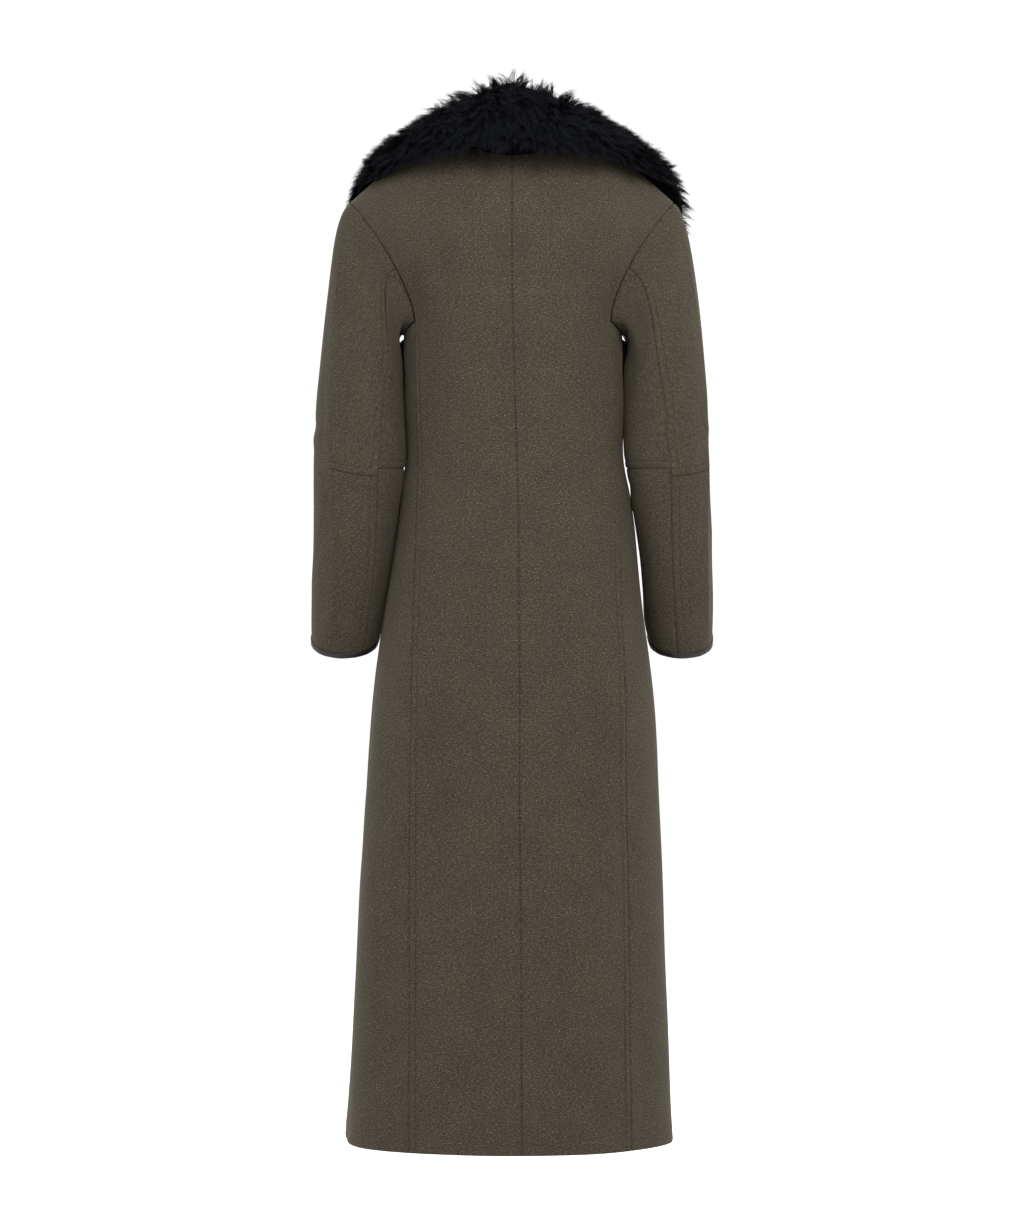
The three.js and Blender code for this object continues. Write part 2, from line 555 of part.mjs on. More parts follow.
// Both skins of a whole sleeve, before it is parted at its seams.
function sleeveSkins(side) {
  const edge = armholeEdge(side);
  const top = SLEEVE[0].z;
  const outer = [];
  for (let k = 0; k < sleeveColumns; k++) {
    const { outer: start, away, normal } = edge[k];
    const from = start.clone().addScaledVector(away, SEAM);
    const to = sleeveSection(side, sleeveTurn(k, top), top);
    const lower = top - SLOPE_STEP;
    const below = sleeveSection(side, sleeveTurn(k, lower), lower).sub(to).normalize();
    const reach = from.distanceTo(to);
    const low = smooth((start.z - HEAD_LOW.from) / (HEAD_LOW.to - HEAD_LOW.from));
    const leave = away.clone().multiplyScalar(lerp(...HEAD_LEAVE.away, low) * reach);
    leave.x += side * lerp(...HEAD_LEAVE.sideways, low) * reach;
    leave.addScaledVector(normal, lerp(...HEAD_LEAVE.outwards, low) * reach);
    const arrive = below.multiplyScalar(reach);
    outer.push([]);
    for (let j = 0; j <= sleeveRows; j++) {
      if (j <= SLEEVE_ROWS.head) {
        const t = j / SLEEVE_ROWS.head;
        const p = from.clone().multiplyScalar((1 + 2 * t) * (1 - t) ** 2);
        p.addScaledVector(leave, t * (1 - t) ** 2).addScaledVector(to, t * t * (3 - 2 * t));
        outer[k].push(p.addScaledVector(arrive, t * t * (t - 1)));
        continue;
      }
      const z = j <= elbowRow
        ? lerp(top, ELBOW_Z, (j - SLEEVE_ROWS.head) / SLEEVE_ROWS.upper)
        : lerp(ELBOW_Z, SLEEVE[SLEEVE.length - 1].z, (j - elbowRow) / SLEEVE_ROWS.lower);
      outer[k].push(sleeveSection(side, sleeveTurn(k, z), z));
    }
  }
  const inner = outer.map((column, k) => column.map((p, j) => {
    if (j === 0) return edge[k].inner.clone().addScaledVector(edge[k].away, SEAM);
    const next = outer[(k + 1) % sleeveColumns][j];
    const before = outer[(k + sleeveColumns - 1) % sleeveColumns][j];
    const lower = column[Math.min(j + 1, sleeveRows)];
    const n = next.clone().sub(before).cross(lower.clone().sub(column[j - 1])).normalize();
    return p.clone().addScaledVector(n, -side * CLOTH);
  }));
  return { outer, inner };
}

// One panel of a sleeve, parted from its neighbours by half a seam on each sewn side.
function sleevePanel({ outer, inner }, [firstColumn, lastColumn], [firstRow, lastRow]) {
  const columns = lastColumn - firstColumn;
  const rows = lastRow - firstRow;
  const at = (skin, i, j) => skin[(firstColumn + i) % sleeveColumns][firstRow + j];
  const parted = (skin) => (i, j) => {
    const p = at(skin, i, j).clone();
    const inset = (q, seam) => {
      const across = q.clone().sub(at(skin, i, j)).projectOnPlane(seam.normalize());
      p.addScaledVector(across.normalize(), SLEEVE_SEAM / 2);
    };
    const along = at(skin, i, Math.min(j + 1, rows)).clone().sub(at(skin, i, Math.max(j - 1, 0)));
    const round = at(skin, Math.min(i + 1, columns), j).clone().sub(at(skin, Math.max(i - 1, 0), j));
    if (i === 0) inset(at(skin, 1, j), along);
    if (i === columns) inset(at(skin, columns - 1, j), along);
    if (j === 0 && firstRow > 0) inset(at(skin, i, 1), round);
    if (j === rows && lastRow < sleeveRows) inset(at(skin, i, rows - 1), round);
    return p;
  };
  return wall(parted(outer), parted(inner), columns, rows);
}

// The leather that wraps the raw edge of the cuff, both outside and inside.
function cuffBinding({ outer, inner }) {
  const around = (gap) => (k, j) => {
    const [edge, above] = [outer[k][sleeveRows], outer[k][sleeveRows - 1]];
    const down = edge.clone().sub(above).normalize();
    const out = edge.clone().sub(inner[k][sleeveRows]).normalize();
    const p = j < 2 ? edge.clone() : inner[k][sleeveRows].clone();
    p.addScaledVector(out, j < 2 ? gap : -gap);
    return p.addScaledVector(down, j === 1 || j === 2 ? gap : -BINDING_WIDTH);
  };
  return wall(around(SEAM + BINDING_PROUD), around(SEAM), sleeveColumns, 3, { closed: true });
}

// The skin of the collar, from its seam on the neck edge over the roll line to its outer edge.
function backNeck(side, share) {
  return mirrored(backSurface(side)(BACK_COLUMNS.neck * share, LOWER_ROWS + YOKE_ROWS), side);
}
function frontNeck(side, share) {
  const corner = FRONT_COLUMNS.underarm + FRONT_COLUMNS.shoulder;
  return mirrored(frontSurface(side)(corner + FRONT_COLUMNS.neck * share, LOWER_ROWS + YOKE_ROWS), side);
}
const COLLAR_COLUMNS = 18;
const COLLAR_ROWS = 11;
function collarSkin(side, along, over) {
  const s = row(COLLAR, "along", along);
  const past = (along - COLLAR_NECK_SHARE) / (1 - COLLAR_NECK_SHARE);
  const seam = past <= 0
    ? backNeck(side, along / COLLAR_NECK_SHARE)
    : frontNeck(side, past ** COLLAR_FRONT_SPACING * COLLAR_END);
  seam.z += COLLAR_RISE;
  const spread = side > 0 ? COLLAR_SPREAD.left : COLLAR_SPREAD.right;
  const curve = new THREE.CatmullRomCurve3([
    seam,
    vec(s.crestX, s.crestY, s.crestZ),
    vec(s.midX * lerp(1, spread, 0.5), s.midY, s.midZ),
    vec(s.edgeX * spread, s.edgeY, s.edgeZ),
  ], false, "centripetal");
  return curve.getPoint(over);
}

function collarHalf(side) {
  const skin = (i, j) => {
    const p = collarSkin(side, clamp01(i / COLLAR_COLUMNS), clamp01(j / COLLAR_ROWS));
    if (i <= 0) p.x = SEAM / 2;
    return mirrored(p, side);
  };
  const fur = (i, j) => {
    const step = 0.05;
    const along = skin(Math.min(i + step, COLLAR_COLUMNS), j).sub(skin(Math.max(i - step, 0), j));
    const over = skin(i, Math.min(j + step, COLLAR_ROWS)).sub(skin(i, Math.max(j - step, 0)));
    if (i === 0) along.set(side, 0, 0);
    const n = along.cross(over).multiplyScalar(side).normalize();
    const share = j / COLLAR_ROWS;
    const rise = lerp(FUR.atSeam, 1, smooth(share / FUR.fullBy));
    const thinned = lerp(1, FUR.atEdge, smooth((share - FUR.thinsFrom) / (1 - FUR.thinsFrom)));
    const front = lerp(1, FUR.atFront, smooth((i / COLLAR_COLUMNS - FUR.frontFrom) / (1 - FUR.frontFrom)));
    return skin(i, j).addScaledVector(n, COLLAR_SKIN + PILE * rise * thinned * front);
  };
  return wall(fur, skin, COLLAR_COLUMNS, COLLAR_ROWS);
}

// A plain dished button, sewn down on the right front at a crossing of its columns and rows.
function button(surface, column, j) {
  const centre = surface(column, j);
  const normal = normalOf(surface, column, j, bodyInside);
  let clear = SEAM;
  for (const [di, dj] of [[1, 0], [-1, 0], [0, 1], [0, -1]]) {
    const away = surface(column + di, j + dj).sub(centre);
    clear = Math.max(clear, SEAM + (BUTTON_RADIUS * away.dot(normal)) / away.length());
  }
  const profile = [
    [0, 0],
    [BUTTON_RADIUS - BUTTON_EDGE, 0],
    [BUTTON_RADIUS, BUTTON_EDGE],
    [BUTTON_RADIUS, BUTTON_THICKNESS - BUTTON_EDGE],
    [BUTTON_RADIUS - BUTTON_EDGE, BUTTON_THICKNESS],
    [BUTTON_RADIUS - BUTTON_RIM, BUTTON_THICKNESS],
    [BUTTON_RADIUS - BUTTON_RIM - BUTTON_DISH, BUTTON_THICKNESS - BUTTON_DISH],
    [0, BUTTON_THICKNESS - BUTTON_DISH],
  ].map(([r, h]) => new THREE.Vector2(r, h));
  const mesh = new THREE.Mesh(new THREE.LatheGeometry(profile, BUTTON_SIDES));
  mesh.quaternion.setFromUnitVectors(vec(0, 1, 0), normal);
  mesh.position.copy(centre).addScaledVector(normal, clear);
  return mesh;
}

const wool = { color: 0x4e493f, roughness: 0.95, metalness: 0 };
const leather = { color: 0x1b1714, roughness: 0.55, metalness: 0 };
const shearling = { color: 0x131519, roughness: 1, metalness: 0 };
const horn = { color: 0x1c1815, roughness: 0.4, metalness: 0 };

const coat = new THREE.Group();
function add(name, shape, look) {
  const mesh = shape.isMesh ? shape : new THREE.Mesh(shape);
  mesh.name = name;
  mesh.material = new THREE.MeshStandardMaterial(look);
  coat.add(mesh);
}

for (const [hand, side] of [["left", 1], ["right", -1]]) {
  for (const [name, stretch] of Object.entries(STRETCHES)) {
    add(`back_${name}_${hand}`, backPanel(side, stretch), wool);
    if (stretch[1] <= LOWER_ROWS) add(`side_back_${name}_${hand}`, sidePanel(side, stretch), wool);
    add(`front_${name}_${hand}`, frontPanel(side, stretch), wool);
  }
  const skins = sleeveSkins(side);
  const { ridge, frontSeam, end } = SLEEVE_PANELS;
  add(`sleeve_top_${hand}`, sleevePanel(skins, [ridge, frontSeam], [0, sleeveRows]), wool);
  add(`sleeve_back_upper_${hand}`, sleevePanel(skins, [0, ridge], [0, elbowRow]), wool);
  add(`sleeve_back_lower_${hand}`, sleevePanel(skins, [0, ridge], [elbowRow, sleeveRows]), wool);
  add(`sleeve_under_upper_${hand}`, sleevePanel(skins, [frontSeam, end], [0, elbowRow]), wool);
  add(`sleeve_under_lower_${hand}`, sleevePanel(skins, [frontSeam, end], [elbowRow, sleeveRows]), wool);
  add(`cuff_binding_${hand}`, cuffBinding(skins), leather);
  add(`collar_${hand}`, collarHalf(side), shearling);
}
for (let k = 0; k < BUTTON_COUNT; k++)
  add(`button_${k + 1}`, button(frontSurface(-1), BUTTON_COLUMN, BUTTON_TOP_ROW - BUTTON_ROWS * k), horn);

export default coat;
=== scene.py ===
"""Looks of a long wool coat with a wide shearling collar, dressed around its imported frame."""

import logging
import math
from dataclasses import dataclass, field
from enum import Enum
from typing import Callable, Dict, List, Optional, Sequence, Tuple

import bpy
import numpy as np
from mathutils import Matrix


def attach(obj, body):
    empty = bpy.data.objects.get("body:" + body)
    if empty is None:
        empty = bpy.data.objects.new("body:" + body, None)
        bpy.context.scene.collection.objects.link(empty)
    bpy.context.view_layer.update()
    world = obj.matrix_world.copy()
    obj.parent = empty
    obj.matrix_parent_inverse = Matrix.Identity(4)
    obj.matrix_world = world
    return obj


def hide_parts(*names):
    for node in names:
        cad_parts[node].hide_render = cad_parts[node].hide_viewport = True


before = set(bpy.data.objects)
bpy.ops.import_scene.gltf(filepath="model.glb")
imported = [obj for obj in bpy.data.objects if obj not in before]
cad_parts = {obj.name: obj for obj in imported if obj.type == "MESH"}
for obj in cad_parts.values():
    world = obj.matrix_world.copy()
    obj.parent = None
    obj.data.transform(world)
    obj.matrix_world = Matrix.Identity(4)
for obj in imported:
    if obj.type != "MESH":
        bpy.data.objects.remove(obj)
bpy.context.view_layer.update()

log = logging.getLogger("coat")
MM = 0.001
Array = np.ndarray
Colour = Tuple[float, float, float]
Surface = Callable[[Array, Array], Array]
Socket = bpy.types.NodeSocket
Material = bpy.types.Material
Piece = bpy.types.Object

# A point inside the body lies at this share of the skin's distance from the middle.
INWARD = 0.55
# Further along the cloth than any border, in mm.
FAR = 5000.0
# How sharply the yoke bows over the shoulder, at the back and beside the lapel.
BACK_BOW = 3.1
LAPEL_BOW = 1.6
# How far the yoke's cloth swells over the shoulder blades and the chest, in mm.
BACK_FULLNESS = 11.0
FRONT_FULLNESS = 7.0


class Hand(Enum):
    """The wearer's two sides, with the sign of X on each."""

    LEFT = 1
    RIGHT = -1

    @property
    def word(self) -> str:
        """The side's name as the frame writes it."""
        return self.name.lower()


class Border(Enum):
    """The four sides of a panel's grid."""

    START = "first column"
    END = "last column"
    BOTTOM = "first row"
    TOP = "last row"


def lerp(a: Array, b: Array, t: Array) -> Array:
    """A value between a and b."""
    return a + (b - a) * t


def smooth(t: Array) -> Array:
    """A soft step from 0 to 1."""
    t = np.clip(t, 0.0, 1.0)
    return t * t * (3.0 - 2.0 * t)


def bell(distance: Array) -> Array:
    """A round bump of height 1."""
    return np.exp(-np.square(distance))


def power(value: Array, exponent: Array) -> Array:
    """A power that keeps the sign of its value."""
    return np.sign(value) * np.abs(value) ** exponent


def unit(v: Array) -> Array:
    """Vectors scaled to length 1."""
    return v / np.maximum(np.linalg.norm(v, axis=-1, keepdims=True), 1e-12)


def hermite(a: Array, b: Array, leave: Array, arrive: Array, t: Array) -> Array:
    """A smooth curve from a to b that leaves and arrives at the given slopes."""
    back = 1.0 - t
    ends = a * (1.0 + 2.0 * t) * back**2 + b * t * t * (3.0 - 2.0 * t)
    return ends + leave * t * back**2 + arrive * t * t * (t - 1.0)


@dataclass(frozen=True)
class StationTable:
    """Sizes at stations under named columns. The first column is the key, which rises or falls evenly."""

    names: str
    rows: Tuple[Tuple[float, ...], ...]

    def at(self, value: Array) -> Dict[str, Array]:
        """Reads every column by a smooth curve.

        Args:
            value: places along the key column.

        Returns:
            The columns' values there, by name.
        """
        data = np.array(self.rows, float)
        data = data if data[0, 0] < data[-1, 0] else data[::-1]
        key, last = data[:, 0], len(data) - 1
        after = np.minimum(np.arange(last + 1) + 1, last)
        before = np.maximum(np.arange(last + 1) - 1, 0)
        slope = (data[after] - data[before]) / (key[after] - key[before])[:, None]
        value = np.asarray(value, float)
        i = np.clip(np.searchsorted(key, value, side="right") - 1, 0, last - 1)
        span = (key[i + 1] - key[i])[..., None]
        t = np.clip((value - key[i])[..., None] / span, -0.05, 1.05)
        read = hermite(data[i], data[i + 1], slope[i] * span, slope[i + 1] * span, t)
        return {name: read[..., k] for k, name in enumerate(self.names.split())}


@dataclass(frozen=True)
class Fold:
    """A long soft fold of the body, placed by its distance round from the centre back, in mm."""

    at: float
    lean: float
    top: float
    bottom: float
    width: float
    height: float

    def lift(self, distance: Array, z: Array) -> Array:
        """How far the fold lifts the cloth at places on the body."""
        down = (self.top - z) / (self.top - self.bottom)
        spread = bell((distance - self.at - self.lean * down) / self.width)
        return np.where(down > 0, self.height * smooth(down * 1.6) * spread, 0.0)


@dataclass(frozen=True)
class YokeFold:
    """A soft fold beside the armhole, across and up the yoke as shares of its size."""

    face: int
    across: float
    lean: float
    up: float
    width: float
    length: float
    height: float

    def lift(self, across: Array, t: Array) -> Array:
        """How far the fold lifts the yoke's cloth."""
        beside = (across - self.across - self.lean * (t - self.up)) / self.width
        return self.height * bell(beside) * bell((t - self.up) / self.length)


@dataclass(frozen=True)
class Crease:
    """A crease on one panel: u and v in mm over its grid, turn in degrees from across."""

    u: float
    v: float
    turn: float
    length: float
    width: float
    height: float

    def lift(self, across: Array, along: Array) -> Array:
        """How far the crease lifts the cloth.

        Args:
            across: mm along the rows from the panel's first column.
            along: mm up the columns from the panel's first row.

        Returns:
            The lift in mm, on the same grid.
        """
        c, s = math.cos(math.radians(self.turn)), math.sin(math.radians(self.turn))
        x, y = across - self.u, along - self.v
        run, off = x * c + y * s, y * c - x * s
        off = off + 0.06 * run * np.sin(run / self.length * 2.4)
        return self.height * bell(run / self.length) * bell(off / self.width)


@dataclass
class YokeColumns:
    """Columns of the chest or back above the underarm, each from the underarm up to the shoulder line."""

    face: int
    base: Array
    slope: Array
    top: Array
    folds: Sequence[YokeFold]
    neck_half: float
    neck_back: float
    shoulder_y: float
    shoulder_run: float
    lap: float
    lap_zone: float
    v_drop: float

    def at(self, t: Array) -> Array:
        """Points at a share t of the way up each column."""
        tip = self.neck_half + self.shoulder_run
        reach = np.abs(self.top[:, 0])
        across = np.clip(reach / tip, 0.0, 1.0)
        outward = np.clip((reach - self.lap_zone) / (tip - self.lap_zone), 0.0, 1.0)
        bow = BACK_BOW if self.face > 0 else lerp(LAPEL_BOW, BACK_BOW, smooth(outward))
        over = 1.0 - power(1.0 - power(t, bow), 1.0 / bow)
        share = np.stack([power(t, 1.5), over, t], axis=-1)
        p = lerp(self.base, self.top, share)
        p = p + self.slope * ((self.top[:, 2] - self.base[:, 2]) / 10.0 * t * (1.0 - t) ** 2)[:, None]
        fullness = BACK_FULLNESS if self.face > 0 else FRONT_FULLNESS
        lift = fullness * np.sin(math.pi * np.clip(t, 0, 1)) ** 2
        lift = lift * smooth(across * 1.4)
        for fold in self.folds:
            if fold.face == self.face:
                lift = lift + fold.lift(across, t)
        p[:, 1] += self.face * lift
        return p

    def in_neck(self, p: Array) -> Array:
        """Which points lie in the opening of the neck."""
        if self.face > 0:
            back = (p[:, 1] - self.shoulder_y) / (self.neck_back - self.shoulder_y)
            return np.hypot(p[:, 0] / self.neck_half, back) < 1.0
        return p[:, 2] > self.v_drop * (p[:, 0] - self.neck_half) / (self.neck_half + self.lap)

    def neck_cut(self) -> Array:
        """How far up each column the neck is cut out, as a share of its height."""
        low = np.zeros(len(self.base))
        high = np.ones(len(self.base))
        for _ in range(30):
            middle = (low + high) / 2.0
            inside = self.in_neck(self.at(middle))
            high = np.where(inside, middle, high)
            low = np.where(inside, low, middle)
        return np.where(self.top[:, 0] > self.neck_half - 0.01, 1.0, low)


@dataclass(frozen=True)
class BodyForm:
    """The body of the coat as surfaces over the same columns and rows as its solids, in mm."""

    cloth: float = 2.4
    seam: float = 0.3
    hem_z: float = -1318.0
    underarm_z: float = -238.0
    underarm_dip: float = 14.0
    dip_reach: float = 70.0
    neck_half: float = 85.0
    neck_back: float = 75.0
    shoulder_y: float = 4.0
    shoulder_run: float = 130.0
    shoulder_drop: float = 77.0
    shoulder_rounding: float = 1.6
    lap: float = 40.0
    lap_gap: float = 0.9
    lap_zone: float = 62.0
    lap_blend: float = 16.0
    lap_slope: float = 30.0
    v_drop: float = 220.0
    roundness: float = 2.2
    ring_steps: int = 360
    lower_rows: int = 19
    yoke_rows: int = 8
    back_neck_columns: int = 3
    back_columns: int = 8
    side_columns: int = 5
    front_underarm: int = 4
    front_shoulder: int = 9
    front_columns: int = 14
    sections: StationTable = StationTable(
        "z half centre back front sway backSeam sideSeam",
        (
            (-1318, 217.5, 6, 158, 160, -19, 150, 292),
            (-1268, 213.5, 5.5, 156, 157, -18, 150, 288),
            (-1002, 202, 3.8, 146, 147, -15, 149, 268),
            (-869, 194.5, 1.3, 141, 141, -11, 148, 257),
            (-736, 185.5, -2, 137, 136, -8, 148, 247),
            (-610, 169.8, -2.8, 131, 128, -6, 147, 236),
            (-510, 157.5, -5.3, 120, 120, -3, 147, 229),
            (-465, 151.3, -5.2, 114, 119, -2.5, 147, 225.5),
            (-412, 143.7, -3.9, 108, 118, -2, 147, 222),
            (-337, 145.5, -2.7, 109, 126, -1, 147, 219),
            (-238, 145, -1, 116, 133, 0, 147, 217),
        ),
    )
    folds: Tuple[Fold, ...] = (
        Fold(196, 30, -560, -1330, 46, 4.5),
        Fold(88, 16, -640, -1330, 50, -3),
        Fold(-205, -34, -520, -1330, 48, 5),
        Fold(-78, -22, -700, -1330, 46, 3),
        Fold(330, 60, -500, -1330, 55, 5),
        Fold(262, 44, -600, -1330, 42, -4),
        Fold(-322, -66, -560, -1330, 52, 5),
        Fold(-268, -40, -640, -1330, 40, -4),
    )
    yoke_folds: Tuple[YokeFold, ...] = (
        YokeFold(1, 0.8, 0.05, 0.42, 0.1, 0.34, 6),
        YokeFold(1, 0.62, 0.04, 0.36, 0.1, 0.3, -4),
        YokeFold(-1, 0.8, 0.05, 0.4, 0.12, 0.34, 5),
    )

    def ring(self, z: Array) -> Dict[str, Array]:
        """Horizontal sections of the body as points with their distance round from straight back."""
        s = self.sections.at(z)
        angle = np.linspace(0.0, 2.0 * math.pi, self.ring_steps + 1)
        depth = np.where(np.cos(angle) > 0, s["back"][:, None], s["front"][:, None])
        wide = (np.abs(np.sin(angle)) / s["half"][:, None]) ** self.roundness
        r = (wide + (np.abs(np.cos(angle)) / depth) ** self.roundness) ** (-1.0 / self.roundness)
        s["x"] = s["centre"][:, None] + r * np.sin(angle)
        s["y"] = r * np.cos(angle)
        steps = np.hypot(np.diff(s["x"], axis=1), np.diff(s["y"], axis=1))
        s["reach"] = np.concatenate([np.zeros((len(steps), 1)), np.cumsum(steps, axis=1)], axis=1)
        s["girth"] = s["reach"][:, -1]
        return s

    def girth(self, z: Array) -> Array:
        """The distance right round the body at each height."""
        heights, back = np.unique(z, return_inverse=True)
        return self.ring(heights)["girth"][back.reshape(np.shape(z))]

    def point(self, side: int, distance: Array, z: Array) -> Array:
        """Points of the body below the underarm.

        Args:
            side: 1 on the wearer's left and -1 on the right.
            distance: mm round from the centre back seam.
            z: heights.

        Returns:
            Points in mm, one for each distance and height.
        """
        distance, z = np.broadcast_arrays(side * np.asarray(distance, float), np.asarray(z, float))
        flat = np.empty((distance.size, 3))
        every_d, every_z = distance.ravel(), z.ravel()
        for start in range(0, len(flat), 4096):
            part = slice(start, start + 4096)
            flat[part] = self.section_points(every_d[part], every_z[part])
        return flat.reshape(distance.shape + (3,))

    def section_points(self, distance: Array, z: Array) -> Array:
        """Points at signed distances round, for a few thousand places at a time."""
        s = self.ring(z)
        row = np.arange(len(z))
        place = np.mod(distance + s["sway"], s["girth"])
        k = np.clip((s["reach"] <= place[:, None]).sum(axis=1) - 1, 0, self.ring_steps - 1)
        start, end = s["reach"][row, k], s["reach"][row, k + 1]
        t = (place - start) / (end - start)
        x = lerp(s["x"][row, k], s["x"][row, k + 1], t) - s["centre"]
        y = lerp(s["y"][row, k], s["y"][row, k + 1], t)
        lift = sum(fold.lift(distance, z) for fold in self.folds)
        grown = 1.0 + lift / np.hypot(x, y)
        return np.stack([s["centre"] + x * grown, y * grown, z], axis=-1)

    def shoulder_line(self, x: Array) -> Array:
        """Points of the left shoulder line at distances from the centre."""
        out = np.maximum(0.0, x - self.neck_half) / self.shoulder_run
        z = -self.shoulder_drop * out**self.shoulder_rounding
        return np.stack([x, np.full_like(x, self.shoulder_y), z], axis=-1)

    def lower_z(self, j: Array) -> Array:
        """The height of a row below the underarm."""
        return lerp(self.hem_z, self.underarm_z, j / self.lower_rows)

    def yoke_up(self, j: Array) -> Array:
        """How far up the yoke a row lies, as a share."""
        share = np.clip((j - self.lower_rows) / self.yoke_rows, 0.0, 1.0)
        return np.sin(share * math.pi / 2.0) ** 0.9

    def armhole_drop(self, z: Array, share: Array) -> Array:
        """How far the rows dip under the arm."""
        dip = self.underarm_dip * np.sin(math.pi * np.clip(share, 0.0, 1.0))
        return dip * smooth((z - self.underarm_z + self.dip_reach) / self.dip_reach)

    def yoke(self, side: int, face: int, distance: Array, top_x: Array) -> YokeColumns:
        """The columns above the underarm on the front or the back, in the left side's coordinates."""
        flip = np.array([side, 1.0, 1.0])
        base = self.point(side, distance, self.underarm_z) * flip
        below = self.point(side, distance, self.underarm_z - 10.0) * flip
        slope = (base - below) * np.array([1.0, 1.0, 0.0])
        return YokeColumns(
            face, base, slope, self.shoulder_line(top_x), self.yoke_folds, self.neck_half, self.neck_back,
            self.shoulder_y, self.shoulder_run, self.lap, self.lap_zone, self.v_drop,
        )

    def raised(self, side: int, face: int, distance: Array, top_x: Array, j: Array) -> Array:
        """Points of the yoke's rows, in the left side's coordinates."""
        columns = self.yoke(side, face, distance, top_x)
        return columns.at(self.yoke_up(j) * columns.neck_cut())

    def back(self, side: int) -> Surface:
        """The back panel: i runs from the centre back seam outwards, j from the hem to the shoulder."""

        def surface(i: Array, j: Array) -> Array:
            """Points in mm at columns i and rows j."""
            i, j = (np.array(v, float) for v in np.broadcast_arrays(i, j))
            out = np.empty(i.shape + (3,))
            low = j <= self.lower_rows
            z = np.where(low, self.lower_z(j), self.underarm_z)
            seam = self.sections.at(z)["backSeam"]
            distance = lerp(self.seam / 2, seam - self.seam / 2, i / self.back_columns)
            out[low] = self.point(side, distance[low], z[low])
            if not low.all():
                high = ~low
                past = i[high] - self.back_neck_columns
                neck = self.neck_half * i[high] / self.back_neck_columns
                shoulder = self.back_columns - self.back_neck_columns
                wide = self.neck_half + self.shoulder_run * past / shoulder
                top_x = np.maximum(self.seam / 2, np.where(past <= 0, neck, wide))
                p = self.raised(side, 1, distance[high], top_x, j[high])
                p[:, 1] += self.seam * self.yoke_up(j[high])
                out[high] = p * np.array([side, 1.0, 1.0])
            return out

        return surface

    def side_back(self, side: int) -> Surface:
        """The panel between the back panel and the side seam, which ends at the underarm."""

        def surface(i: Array, j: Array) -> Array:
            """Points in mm at columns i and rows j."""
            i, j = (np.array(v, float) for v in np.broadcast_arrays(i, j))
            z = self.lower_z(j)
            s = self.sections.at(z)
            share = i / self.side_columns
            distance = lerp(s["backSeam"] + self.seam / 2, s["sideSeam"] - self.seam / 2, share)
            return self.point(side, distance, z - self.armhole_drop(z, share / 2.0))

        return surface

    def front(self, side: int) -> Surface:
        """The front panel, i from the side seam to the front edge. The left one steps under the right."""
        shoulder = self.front_shoulder - self.front_underarm
        neck = self.front_columns - self.front_shoulder

        def under(p: Array, from_centre: Array) -> Array:
            """Moves the left front back where the right one covers it."""
            if side < 0:
                return p
            step = (self.cloth + self.lap_gap) * smooth((self.lap_zone - from_centre) / self.lap_blend)
            sloping = smooth((p[:, 2] - self.underarm_z) / self.lap_slope)
            return p + np.stack([np.zeros_like(step), step, -step * sloping], axis=-1)

        def surface(i: Array, j: Array) -> Array:
            """Points in mm at columns i and rows j."""
            i, j = (np.array(v, float) for v in np.broadcast_arrays(i, j))
            out = np.empty(i.shape + (3,))
            low = j <= self.lower_rows
            z = np.where(low, self.lower_z(j), self.underarm_z)
            half = self.girth(z) / 2.0
            side_seam = self.sections.at(z)["sideSeam"] + self.seam / 2
            distance = lerp(side_seam, half + self.lap, i / self.front_columns)
            share = 0.5 + 0.5 * i / self.front_underarm
            drop = np.where(share > 1.0, 0.0, self.armhole_drop(z, share))
            p = self.point(side, distance[low], (z - drop)[low])
            out[low] = under(p, (half - distance)[low])
            if not low.all():
                high = ~low
                past = i[high] - self.front_shoulder
                top_x = np.where(
                    past <= 0,
                    self.neck_half - self.shoulder_run * past / shoulder,
                    self.neck_half - (self.neck_half + self.lap) * past / neck,
                )
                p = self.raised(side, -1, distance[high], top_x, j[high])
                out[high] = under(p, p[:, 0]) * np.array([side, 1.0, 1.0])
            return out

        return surface

    def way_out(self, surface: Surface, i: Array, j: Array) -> Array:
        """Unit normals of a surface, on the side away from the inside of the body."""
        step = 0.02
        top = np.minimum(j + step, self.lower_rows + self.yoke_rows)
        across = surface(i + step, j) - surface(i - step, j)
        up = surface(i, top) - surface(i, top - 2.0 * step)
        n = unit(np.cross(across, up))
        p = surface(i, j)
        lower = np.where(p[..., 2] > self.underarm_z, 60.0, 0.0)
        inside = np.stack([p[..., 0] * INWARD, 0.0 * p[..., 1], p[..., 2] - lower], axis=-1)
        facing = np.sign(np.sum(n * (p - inside), axis=-1, keepdims=True))
        return n * np.where(facing == 0, 1.0, facing)


@dataclass(frozen=True)
class ArmholeRun:
    """A stretch of the armhole's edge, from one of the sleeve's columns to another.

    The panel's column and row there are each a start and a step for every column of the sleeve.
    """

    surface: Surface
    first: float
    last: float
    column: Tuple[float, float]
    row: Tuple[float, float]

    def places(self, sleeve_column: Array) -> Tuple[Array, Array]:
        """The body panel's columns and rows beside columns of the sleeve."""
        past = sleeve_column - self.first
        return self.column[0] + self.column[1] * past, self.row[0] + self.row[1] * past


